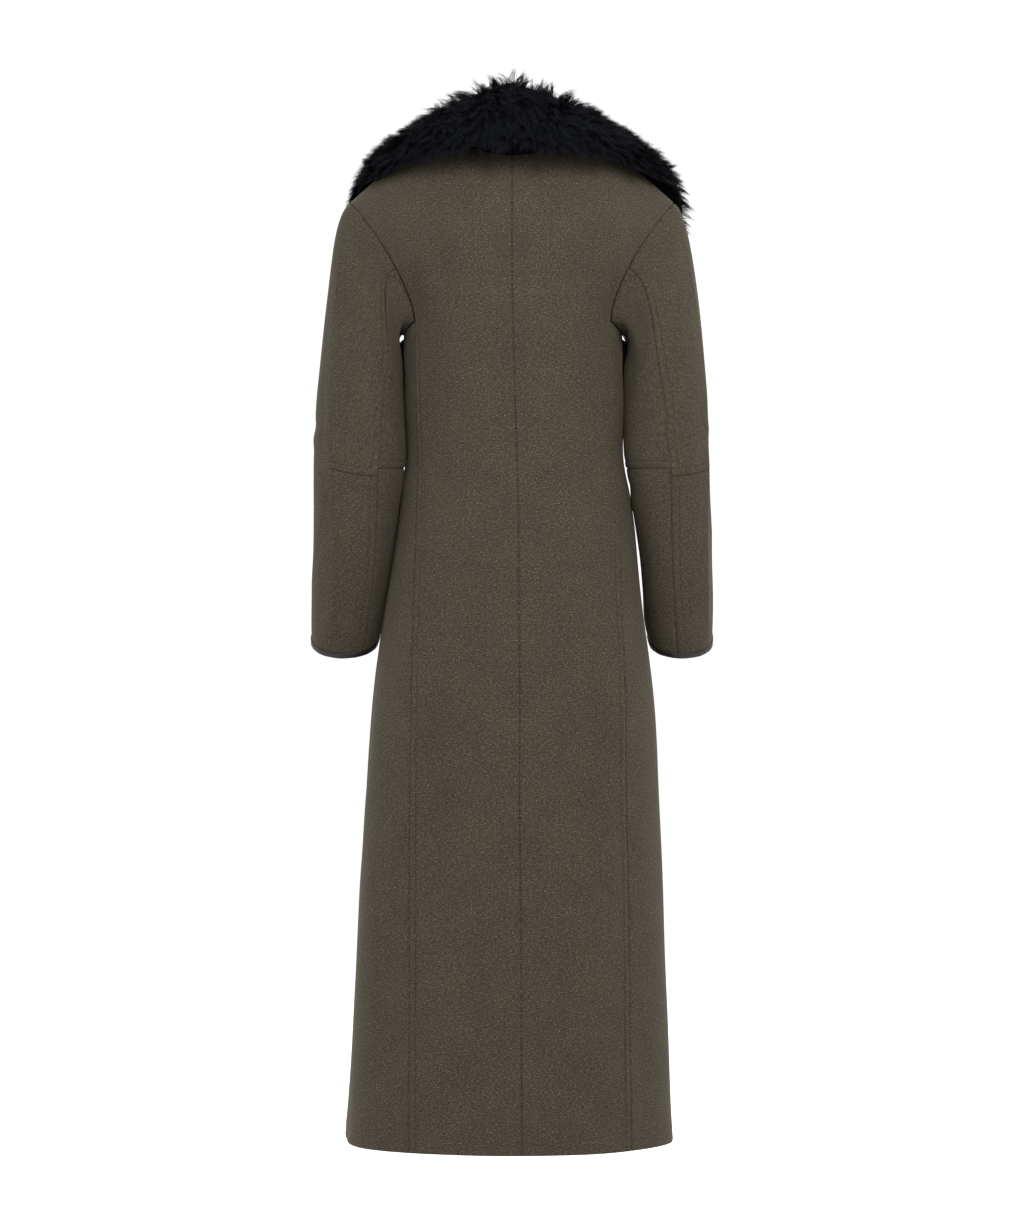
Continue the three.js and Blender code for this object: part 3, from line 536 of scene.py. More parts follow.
@dataclass(frozen=True)
class SleeveForm:
    """Both sleeves as surfaces round the arm, tied to the armholes of the body, in mm."""

    body: BodyForm
    front_seam: float = -148.0
    elbow_z: float = -439.0
    elbow_arc: float = 10.0
    elbow_reach: float = 50.0
    arc_width: float = 60.0
    crease_width: float = 9.0
    left_hang: Tuple[float, float] = (-27.0, 0.0)
    right_hang: Tuple[float, float] = (0.0, 1.0)
    ridge: int = 4
    front_column: int = 13
    columns: int = 25
    back_rows: int = 2
    head_rows: int = 6
    elbow_row: int = 10
    rows: int = 18
    roundness: float = 2.15
    sections: StationTable = StationTable(
        "z away inner outer back front dip seam crease sharp",
        (
            (-300, 6, 144, 255.5, 70, -64, 0, -9, 62, 0.045),
            (-337, 5, 144, 258.5, 72, -60, 0, -4, 62, 0.05),
            (-412, 8, 140.5, 261, 75, -52, 2, 0, 61, 0.055),
            (-439, 9, 142.5, 262, 75, -48, 3, 1, 60, 0.055),
            (-500, 11, 151.5, 264.5, 66, -54, 7, -4, 50, 0.045),
            (-545, 12, 158, 266, 53, -61, 12, -7, 48, 0.045),
            (-590, 9.5, 165, 268, 36, -71, 16, -8, 48, 0.04),
            (-630, 6, 171.5, 269, 16, -84, 20, -7, 50, 0.02),
            (-658, 4, 180, 269, -2, -94, 22, -6, 50, 0),
        ),
    )

    def section(self, side: int, turn: Array, z: Array) -> Array:
        """Points of a sleeve's section. turn is in degrees round from the back, outwards."""
        hang_turn, hang_away = self.left_hang if side > 0 else self.right_hang
        s = self.sections.at(z)
        inner = s["inner"] + s["away"] * hang_away
        half = (s["outer"] - inner) / 2.0
        depth = (s["back"] - s["front"]) / 2.0
        angle = np.radians(turn + hang_turn)
        wide = (np.abs(np.sin(angle)) / half) ** self.roundness
        r = (wide + (np.abs(np.cos(angle)) / depth) ** self.roundness) ** (-1.0 / self.roundness)
        r = r * (1.0 + s["sharp"] * bell((turn - s["crease"]) / self.crease_width))
        arc = np.minimum(1.0, ((turn - s["seam"]) / self.arc_width) ** 2)
        raised = self.elbow_arc * arc * bell((z - self.elbow_z) / self.elbow_reach)
        x = side * ((inner + s["outer"]) / 2.0 + r * np.sin(angle))
        y = (s["back"] + s["front"]) / 2.0 + r * np.cos(angle)
        return np.stack([x, y, z - s["dip"] * np.cos(angle) + raised], axis=-1)

    def turn(self, column: Array, z: Array) -> Array:
        """Where a column runs at a height, in degrees round from the back."""
        s = self.sections.at(z)
        front = self.front_seam + 360.0
        first = lerp(s["seam"], s["crease"], column / self.ridge)
        second = lerp(s["crease"], front, (column - self.ridge) / (self.front_column - self.ridge))
        past = (column - self.front_column) / (self.columns - self.front_column)
        third = lerp(front, s["seam"] + 360.0, past)
        return np.where(column <= self.ridge, first, np.where(column <= self.front_column, second, third))

    def edge(self, side: int, column: Array) -> Tuple[Array, Array]:
        """The body's skin at the edge of the armhole.

        Args:
            side: 1 on the wearer's left and -1 on the right.
            column: columns of the sleeve, from the back seam over the shoulder and down the front.

        Returns:
            Points of the edge and the way out at each.
        """
        body = self.body
        c = np.mod(column, self.columns)
        low, tip = body.lower_rows, body.lower_rows + body.yoke_rows
        back, front, flank = body.back(side), body.front(side), body.side_back(side)
        at_back, under = float(body.back_columns), float(body.front_underarm)
        shoulder = body.yoke_rows - self.back_rows
        armpit = shoulder + body.yoke_rows
        side_seam = armpit + body.front_underarm
        side_back = side_seam + body.side_columns
        runs = (
            ArmholeRun(back, 0, shoulder, (at_back, 0), (low + self.back_rows, 1)),
            ArmholeRun(front, shoulder, armpit, (under, 0), (tip, -1)),
            ArmholeRun(front, armpit, side_seam, (under, -1), (low, 0)),
            ArmholeRun(flank, side_seam, side_back, (body.side_columns, -1), (low, 0)),
            ArmholeRun(back, side_back, self.columns, (at_back, 0), (low, 1)),
        )
        points, normals = np.empty(c.shape + (3,)), np.empty(c.shape + (3,))
        for run in runs:
            here = (c >= run.first) & (c < run.last)
            if here.any():
                i, j = run.places(c[here])
                points[here] = run.surface(i, j)
                normals[here] = body.way_out(run.surface, i, j)
        return points, normals

    def skin(self, side: int, column: Array, j: Array) -> Array:
        """The outer skin of a sleeve over a grid.

        Args:
            side: 1 on the wearer's left and -1 on the right.
            column: the grid's columns, one dimension.
            j: the grid's rows, one dimension.

        Returns:
            Points in mm, by row and column.
        """
        start, normal = self.edge(side, column)
        after, _ = self.edge(side, column + 1.0)
        before, _ = self.edge(side, column - 1.0)
        middle = self.edge(side, np.arange(self.columns) + 0.001)[0].mean(axis=0)
        middle[0] += side * 60.0
        away = unit(np.cross(after - before, normal))
        facing = np.sign(np.sum(away * (middle - start), axis=-1, keepdims=True))
        away = away * facing
        top = np.full_like(column, self.sections.rows[0][0])
        bottom = self.sections.rows[-1][0]
        begin = start + away * self.body.seam
        to = self.section(side, self.turn(column, top), top)
        lower = top - 10.0
        below = unit(self.section(side, self.turn(column, lower), lower) - to)
        reach = np.linalg.norm(begin - to, axis=-1, keepdims=True)
        low = smooth((start[:, 2:] + 110.0) / -130.0)
        leave = away * lerp(0.36, 0.7, low) * reach + normal * 0.6 * low * reach
        leave[:, 0] += side * (lerp(0.1, 0.3, low) * reach)[:, 0]
        out = np.empty((len(j), len(column), 3))
        for k, row in enumerate(j):
            if row <= self.head_rows:
                out[k] = hermite(begin, to, leave, below * reach, row / self.head_rows)
                continue
            upper = (row - self.head_rows) / (self.elbow_row - self.head_rows)
            lower_share = (row - self.elbow_row) / (self.rows - self.elbow_row)
            z = lerp(top[0], self.elbow_z, upper)
            if row > self.elbow_row:
                z = lerp(self.elbow_z, bottom, lower_share)
            heights = np.full_like(column, z)
            out[k] = self.section(side, self.turn(column, heights), heights)
        return out


FINE_STEPS = (0.0, 0.6, 1.4, 2.6, 4.2, 6.2, 7.8, 8.7, 9.6, 10.6, 11.6, 13.4, 16.5, 20.0)


def closing_steps(length: float, step: float, first: bool = True, last: bool = True) -> Array:
    """Places from 0 to length that lie close together beside the sewn ends.

    Args:
        length: the whole run in mm.
        step: the usual distance between places.
        first: whether the start is an edge.
        last: whether the end is an edge.

    Returns:
        Shares of the length, from 0 to 1.
    """
    fine = np.array(FINE_STEPS)
    start = fine if first else np.array([0.0])
    end = length - fine[::-1] if last else np.array([length])
    count = max(1, int(round((end[0] - start[-1]) / step)))
    between = np.linspace(start[-1], end[0], count + 1)[1:-1]
    return np.concatenate([start, between, end]) / length


@dataclass(frozen=True)
class PanelCut:
    """The flat cut of one panel: its width and length in metres and its area in square metres."""

    width: float
    length: float
    area: float


@dataclass
class ClothGrid:
    """One panel of cloth: a grid of points on its outer skin, with the way out at each, in mm."""

    points: Array
    normals: Array
    cells: Array

    def __post_init__(self) -> None:
        """Measures the grid along its rows and columns."""
        rows, columns = self.points.shape[:2]
        across = np.linalg.norm(np.diff(self.points, axis=1), axis=-1)
        along = np.linalg.norm(np.diff(self.points, axis=0), axis=-1)
        self.across = np.concatenate([np.zeros((rows, 1)), np.cumsum(across, axis=1)], axis=1)
        self.along = np.concatenate([np.zeros((1, columns)), np.cumsum(along, axis=0)], axis=0)

    def distance(self, border: Border) -> Array:
        """How far each point is from a border, in mm along the cloth."""
        if border is Border.START:
            first = np.argmax(self.cells, axis=1)
            first = np.append(first, first[-1])
            return np.abs(self.across - np.take_along_axis(self.across, first[:, None], axis=1))
        if border is Border.END:
            return self.across[:, -1:] - self.across
        if border is Border.BOTTOM:
            return self.along
        rows = len(self.cells)
        last = rows - np.argmax(self.cells[::-1], axis=0)
        last = np.insert(last, 0, last[0])
        gap = np.take_along_axis(self.along, last[None, :], axis=0) - self.along
        return np.where(gap < 0, FAR, gap)

    def sewn_out(self, reach: float) -> "ClothGrid":
        """The same panel with its four borders moved out along the cloth, so that it meets its neighbours."""
        p = self.points.copy()
        p[:, 0] += unit(p[:, 0] - p[:, 1]) * reach
        p[:, -1] += unit(p[:, -1] - p[:, -2]) * reach
        p[0] += unit(p[0] - p[1]) * reach
        p[-1] += unit(p[-1] - p[-2]) * reach
        return ClothGrid(p, self.normals, self.cells)

    def cut(self) -> PanelCut:
        """The panel's flat width and length and its area, measured along the cloth."""
        a, b = self.points[:-1, 1:] - self.points[1:, :-1], self.points[1:, 1:] - self.points[:-1, :-1]
        areas = np.linalg.norm(np.cross(a, b), axis=-1) / 2.0
        used = np.zeros(self.points.shape[:2], bool)
        for shift in ((0, 0), (0, 1), (1, 0), (1, 1)):
            rows = slice(shift[0], shift[0] + self.cells.shape[0])
            used[rows, shift[1] : shift[1] + self.cells.shape[1]] |= self.cells
        widest = np.where(used, self.across, 0.0).max(axis=1) - np.where(used, self.across, FAR).min(axis=1)
        longest = np.where(used, self.along, 0.0).max(axis=0) - np.where(used, self.along, FAR).min(axis=0)
        return PanelCut(widest.max() * MM, longest.max() * MM, float(areas[self.cells].sum()) * MM**2)

    def line(self, border: Border, offset: float, keep: Callable[[Array], Array]) -> Tuple[Array, Array]:
        """A line along the cloth at an even distance from a border.

        Args:
            border: the side of the grid that it follows.
            offset: its distance from that side in mm.
            keep: says by the points' places which of them belong to the line.

        Returns:
            The line's points and the way out at each.
        """
        turned = border in (Border.BOTTOM, Border.TOP)
        points = self.points.swapaxes(0, 1) if turned else self.points
        normals = self.normals.swapaxes(0, 1) if turned else self.normals
        gap = self.distance(border)
        gap = gap.T if turned else gap
        path, out = [], []
        for row, way, far in zip(points, normals, gap):
            order = np.argsort(far)
            place = np.interp(offset, far[order], np.arange(len(far))[order].astype(float))
            k = min(int(place), len(far) - 2)
            path.append(lerp(row[k], row[k + 1], place - k))
            out.append(lerp(way[k], way[k + 1], place - k))
        path_points, ways = np.array(path), unit(np.array(out))
        wanted = keep(path_points)
        return path_points[wanted], ways[wanted]


def stretches(panel: str, hand: Hand) -> List[str]:
    """The frame's nodes of one long panel, from the hem up."""
    return [f"{panel}_{name}_{hand.word}" for name in ("hem", "skirt", "waist", "yoke")]


def grid_normals(points: Array, away_from: Array) -> Array:
    """Unit normals of a grid of points, all on the side away from a given place or places."""
    columns = np.gradient(points, axis=1)
    rows = np.gradient(points, axis=0)
    n = unit(np.cross(columns, rows))
    facing = np.sum(n * (points - away_from), axis=-1).mean()
    return n if facing > 0 else -n


class MeshMaker:
    """Turns numpy points in mm into Blender meshes in metres."""

    @staticmethod
    def piece(name: str, points: Array, faces: Array, uv: Optional[Array] = None) -> Piece:
        """Makes one smooth object.

        Args:
            name: the piece's name.
            points: points in mm.
            faces: corners of each face, all triangles or all quads.
            uv: a map point for each vertex.

        Returns:
            The new object, linked to the scene.
        """
        shape = faces.shape
        used, faces = np.unique(faces, return_inverse=True)
        faces = faces.reshape(shape)
        points = points[used] * MM
        mesh = bpy.data.meshes.new(name)
        count, corners = faces.shape
        mesh.vertices.add(len(points))
        mesh.vertices.foreach_set("co", points.astype(np.float32).ravel())
        mesh.loops.add(count * corners)
        mesh.loops.foreach_set("vertex_index", faces.astype(np.int32).ravel())
        mesh.polygons.add(count)
        mesh.polygons.foreach_set("loop_start", np.arange(0, count * corners, corners, dtype=np.int32))
        mesh.polygons.foreach_set("use_smooth", np.ones(count, bool))
        if uv is not None:
            layer = mesh.uv_layers.new(name="cloth")
            layer.data.foreach_set("uv", uv[used][faces.ravel()].astype(np.float32).ravel())
        mesh.update(calc_edges=True)
        mesh.validate()
        made = bpy.data.objects.new(name, mesh)
        bpy.context.scene.collection.objects.link(made)
        return made

    @staticmethod
    def wall(name: str, outer: Array, inner: Array, cells: Array, uv: Array) -> Piece:
        """Closes two skins of points into one shell of cloth.

        Args:
            name: the piece's name.
            outer: the outer skin, by row and column.
            inner: the inner skin, alike.
            cells: which cells of the grid are cloth.
            uv: map points of the outer skin.

        Returns:
            The new object.
        """
        rows, columns = outer.shape[:2]
        place = np.arange(rows * columns).reshape(rows, columns)
        behind = place + rows * columns
        quads = [
            np.stack([place[:-1, :-1], place[:-1, 1:], place[1:, 1:], place[1:, :-1]], axis=-1)[cells],
            np.stack([behind[:-1, :-1], behind[1:, :-1], behind[1:, 1:], behind[:-1, 1:]], axis=-1)[cells],
        ]
        padded = np.pad(cells, 1)
        sides = (
            (padded[:-2, 1:-1], place[:-1, :-1], place[:-1, 1:], behind[:-1, :-1], behind[:-1, 1:]),
            (padded[2:, 1:-1], place[1:, 1:], place[1:, :-1], behind[1:, 1:], behind[1:, :-1]),
            (padded[1:-1, :-2], place[1:, :-1], place[:-1, :-1], behind[1:, :-1], behind[:-1, :-1]),
            (padded[1:-1, 2:], place[:-1, 1:], place[1:, 1:], behind[:-1, 1:], behind[1:, 1:]),
        )
        for neighbour, a, b, c, d in sides:
            bare = cells & ~neighbour
            quads.append(np.stack([b[bare], a[bare], c[bare], d[bare]], axis=-1))
        faces = np.concatenate(quads)
        points = np.concatenate([outer.reshape(-1, 3), inner.reshape(-1, 3)])
        normal = np.cross(outer[0, 1] - outer[0, 0], outer[1, 0] - outer[0, 0])
        if normal @ (outer[0, 0] - inner[0, 0]) < 0:
            faces = faces[:, ::-1]
        flat = uv.reshape(-1, 2)
        return MeshMaker.piece(name, points, faces, np.concatenate([flat, flat]))

    @staticmethod
    def ring(name: str, sections: Array, uv: Array, closed: bool = True) -> Piece:
        """Joins closed sections, one after the other, into a tube.

        Args:
            name: the piece's name.
            sections: points by section and place round it.
            uv: map points, alike.
            closed: whether the last section meets the first.

        Returns:
            The new object.
        """
        count, around = sections.shape[:2]
        place = np.arange(count * around).reshape(count, around)
        after = np.roll(place, -1, axis=0)
        here = slice(None) if closed else slice(0, -1)
        beside, beside_after = np.roll(place, -1, axis=1), np.roll(after, -1, axis=1)
        quads = np.stack([place[here], after[here], beside_after[here], beside[here]], axis=-1)
        return MeshMaker.piece(name, sections.reshape(-1, 3), quads.reshape(-1, 4), uv.reshape(-1, 2))


class NodeBench:
    """A material and its nodes, built up a call at a time."""

    def __init__(self, name: str) -> None:
        """Starts a material that holds only its shader."""
        self.material = bpy.data.materials.new(name)
        self.material.use_nodes = True
        self.tree = self.material.node_tree
        self.shader = next(n for n in self.tree.nodes if n.type == "BSDF_PRINCIPLED")

    def add(self, kind: str, **settings: object) -> bpy.types.Node:
        """Adds a node and sets its own properties."""
        node = self.tree.nodes.new(kind)
        for key, value in settings.items():
            setattr(node, key, value)
        return node

    def join(self, start: Socket, end: Socket) -> None:
        """Links two sockets."""
        self.tree.links.new(start, end)

    def place(self, uv: bool, scale: Tuple[float, float, float]) -> Socket:
        """Coordinates in metres, from the cloth's map or from space, times a scale."""
        source = self.add("ShaderNodeTexCoord")
        mapping = self.add("ShaderNodeMapping")
        mapping.inputs["Scale"].default_value = scale
        self.join(source.outputs["UV" if uv else "Object"], mapping.inputs["Vector"])
        return mapping.outputs["Vector"]

    def noise(self, at: Socket, scale: float, detail: float, rough: float = 0.55) -> Socket:
        """A noise value at the given coordinates."""
        node = self.add("ShaderNodeTexNoise")
        node.inputs["Scale"].default_value = scale
        node.inputs["Detail"].default_value = detail
        node.inputs["Roughness"].default_value = rough
        self.join(at, node.inputs["Vector"])
        return node.outputs["Fac"]

    def ramp(self, value: Socket, stops: Sequence[Tuple[float, Colour]]) -> Socket:
        """Colours along a value.

        Args:
            value: the socket that is read.
            stops: places from 0 to 1, each with a linear colour.

        Returns:
            The colour socket.
        """
        node = self.add("ShaderNodeValToRGB")
        marks = node.color_ramp.elements
        while len(marks) < len(stops):
            marks.new(1.0)
        for mark, (place, colour) in zip(marks, stops):
            mark.position = place
            mark.color = (*colour, 1.0)
        self.join(value, node.inputs["Fac"])
        return node.outputs["Color"]

    def mix(self, share: Socket, first: Socket, second: Socket, kind: str = "MIX") -> Socket:
        """Mixes two colours by a share."""
        node = self.add("ShaderNodeMix", data_type="RGBA", blend_type=kind)
        self.join(share, node.inputs["Factor"])
        self.join(first, node.inputs["A"])
        self.join(second, node.inputs["B"])
        return node.outputs["Result"]

    def bump(self, height: Socket, strength: float, depth: float, under: Optional[Socket] = None) -> Socket:
        """A bump of a depth in metres, over another one if given."""
        node = self.add("ShaderNodeBump")
        node.inputs["Strength"].default_value = strength
        node.inputs["Distance"].default_value = depth
        self.join(height, node.inputs["Height"])
        if under is not None:
            self.join(under, node.inputs["Normal"])
        return node.outputs["Normal"]

    def finish(self, colour: Socket, normal: Socket, **plain: float) -> Material:
        """Joins colour and normal to the shader and sets its plain numbers."""
        self.join(colour, self.shader.inputs["Base Color"])
        self.join(normal, self.shader.inputs["Normal"])
        for key, value in plain.items():
            self.shader.inputs[key.replace("_", " ")].default_value = value
        return self.material


def srgb(red: float, green: float, blue: float) -> Colour:
    """A linear colour from display values of 0 to 255."""
    values = (v / 255.0 for v in (red, green, blue))
    return tuple(v / 12.92 if v <= 0.04045 else ((v + 0.055) / 1.055) ** 2.4 for v in values)


# How little the fur and its undercoat shine.
DULL = 0.08


@dataclass(frozen=True)
class WoolFinish:
    """Felted wool in olive brown, with fine heather flecks and short fibres that lie across."""

    dark: Colour = srgb(30, 27, 21)
    middle: Colour = srgb(46, 42, 33)
    light: Colour = srgb(62, 57, 45)
    fleck: Colour = srgb(116, 103, 82)
    bloom: Colour = srgb(150, 140, 112)
    fibre: Tuple[float, float, float] = (260.0, 800.0, 1.0)

    def build(self) -> Material:
        """Makes the wool material."""
        bench = NodeBench("heather_wool")
        cloth = bench.place(True, self.fibre)
        fibre = bench.noise(cloth, 1.0, 5.0, 0.62)
        ground = bench.ramp(fibre, [(0.34, self.dark), (0.5, self.middle), (0.66, self.light)])
        even = bench.place(True, (1.0, 1.0, 1.0))
        speck = bench.noise(even, 620.0, 2.0)
        where = bench.ramp(speck, [(0.58, (0, 0, 0)), (0.72, (0.8, 0.8, 0.8))])
        fleck = bench.ramp(speck, [(0.0, self.fleck), (1.0, self.fleck)])
        flecked = bench.mix(where, ground, fleck)
        cloudy = bench.noise(even, 14.0, 3.0)
        shade = bench.ramp(cloudy, [(0.3, (0.88, 0.88, 0.88)), (0.7, (1.07, 1.07, 1.06))])
        whole = bench.ramp(cloudy, [(0.0, (1, 1, 1)), (1.0, (1, 1, 1))])
        colour = bench.mix(whole, flecked, shade, "MULTIPLY")
        nap = bench.bump(fibre, 0.55, 0.0005)
        fuzz = bench.bump(speck, 0.35, 0.0003, nap)
        bench.shader.inputs["Sheen Tint"].default_value = (*self.bloom, 1.0)
        return bench.finish(
            colour, fuzz, Roughness=0.95, Specular_IOR_Level=0.25, Sheen_Weight=0.12, Sheen_Roughness=0.5
        )


@dataclass(frozen=True)
class GrainFinish:
    """Leather, suede or horn: a colour broken by grain, with a bump of the same grain."""

    name: str
    low: Colour
    high: Colour
    scale: float
    depth: float
    roughness: float
    stretch: Tuple[float, float, float] = (1.0, 1.0, 1.0)
    specular: float = 0.5

    def build(self) -> Material:
        """Makes the material."""
        bench = NodeBench(self.name)
        place = bench.place(False, self.stretch)
        grain = bench.noise(place, self.scale, 6.0, 0.6)
        colour = bench.ramp(grain, [(0.32, self.low), (0.68, self.high)])
        broad = bench.noise(place, self.scale / 9.0, 2.0)
        first = bench.bump(grain, 0.6, self.depth)
        return bench.finish(
            colour, bench.bump(broad, 0.3, self.depth * 3.0, first),
            Roughness=self.roughness, Specular_IOR_Level=self.specular,
        )


@dataclass(frozen=True)
class FurFinish:
    """Long shearling pile: near black at the root, blue black and lighter towards the tips."""

    root: Colour = srgb(7, 8, 11)
    shaft: Colour = srgb(9, 11, 15)
    tip: Colour = srgb(16, 19, 27)
    warm: Colour = srgb(16, 16, 19)

    def build(self) -> Material:
        """Makes the material of the wisps, whose map runs from root to tip."""
        bench = NodeBench("shearling_pile")
        source = bench.add("ShaderNodeTexCoord")
        split = bench.add("ShaderNodeSeparateXYZ")
        bench.join(source.outputs["UV"], split.inputs["Vector"])
        along = bench.ramp(split.outputs["Y"], [(0.0, self.root), (0.55, self.shaft), (1.0, self.tip)])
        warm = bench.ramp(split.outputs["Y"], [(0.0, self.root), (0.55, self.shaft), (1.0, self.warm)])
        share = bench.ramp(split.outputs["X"], [(0.35, (0, 0, 0)), (0.9, (1, 1, 1))])
        colour = bench.mix(share, along, warm)
        place = bench.place(False, (1.0, 1.0, 1.0))
        strands = bench.noise(place, 2200.0, 2.0)
        return bench.finish(colour, bench.bump(strands, 0.3, 0.0002), Roughness=0.8, Specular_IOR_Level=DULL)


UNDERCOAT = GrainFinish(
    "shearling_undercoat", srgb(3, 3, 4), srgb(11, 12, 15), 420.0, 0.003, 0.9, specular=DULL
)
LEATHER = GrainFinish("cuff_leather", srgb(15, 13, 12), srgb(27, 23, 21), 900.0, 0.0003, 0.5, specular=0.3)
THREAD = GrainFinish("wool_thread", srgb(36, 33, 26), srgb(56, 52, 42), 2600.0, 0.0002, 0.8, specular=0.2)
HORN = GrainFinish("dark_horn", srgb(20, 16, 13), srgb(58, 46, 36), 160.0, 0.00005, 0.3, (1.0, 1.0, 3.5))


@dataclass
class Finishes:
    """Every finish of the coat, made once."""

    wool: Material = field(default_factory=WoolFinish().build)
    fur: Material = field(default_factory=FurFinish().build)
    undercoat: Material = field(default_factory=UNDERCOAT.build)
    leather: Material = field(default_factory=LEATHER.build)
    thread: Material = field(default_factory=THREAD.build)
    horn: Material = field(default_factory=HORN.build)


def dress(piece: Piece, material: Material, slot: str, *nodes: str) -> Piece:
    """Gives a piece its finish and its place in the frame.

    Args:
        piece: the new object.
        material: its finish.
        slot: the name of a material slot, which is not used.
        nodes: the frame's nodes that it stands for.

    Returns:
        The same object.
    """
    piece.data.materials.append(material)
    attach(piece, "root")
    if nodes:
        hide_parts(*nodes)
    return piece


@dataclass(frozen=True)
class SeamLook:
    """How the cloth sinks at one border, and the line sewn beside it."""

    border: Border
    sink: float = 0.9
    stitch: float = 0.0
    ridge: float = 0.5
    floor: float = -2000.0
    ceiling: float = 200.0
    sink_width: float = 1.3
    stitch_sink: float = 0.75
    ridge_share: float = 0.36
    fade: float = 30.0

    def covers(self, points: Array) -> Array:
        """Which points lie between the heights where the line is sewn."""
        return (points[:, 2] > self.floor) & (points[:, 2] < self.ceiling)

    def lift(self, grid: ClothGrid) -> Array:
        """The relief of the seam over the panel in mm."""
        gap = grid.distance(self.border)
        lift = -self.sink * bell(gap / self.sink_width)
        if self.stitch:
            z = grid.points[..., 2]
            there = smooth((z - self.floor) / self.fade) * smooth((self.ceiling - z) / self.fade)
            raised = self.ridge * bell((gap - self.stitch / 2.0) / (self.stitch * self.ridge_share))
            lift = lift + there * (raised - self.stitch_sink * bell(gap - self.stitch))
        return lift


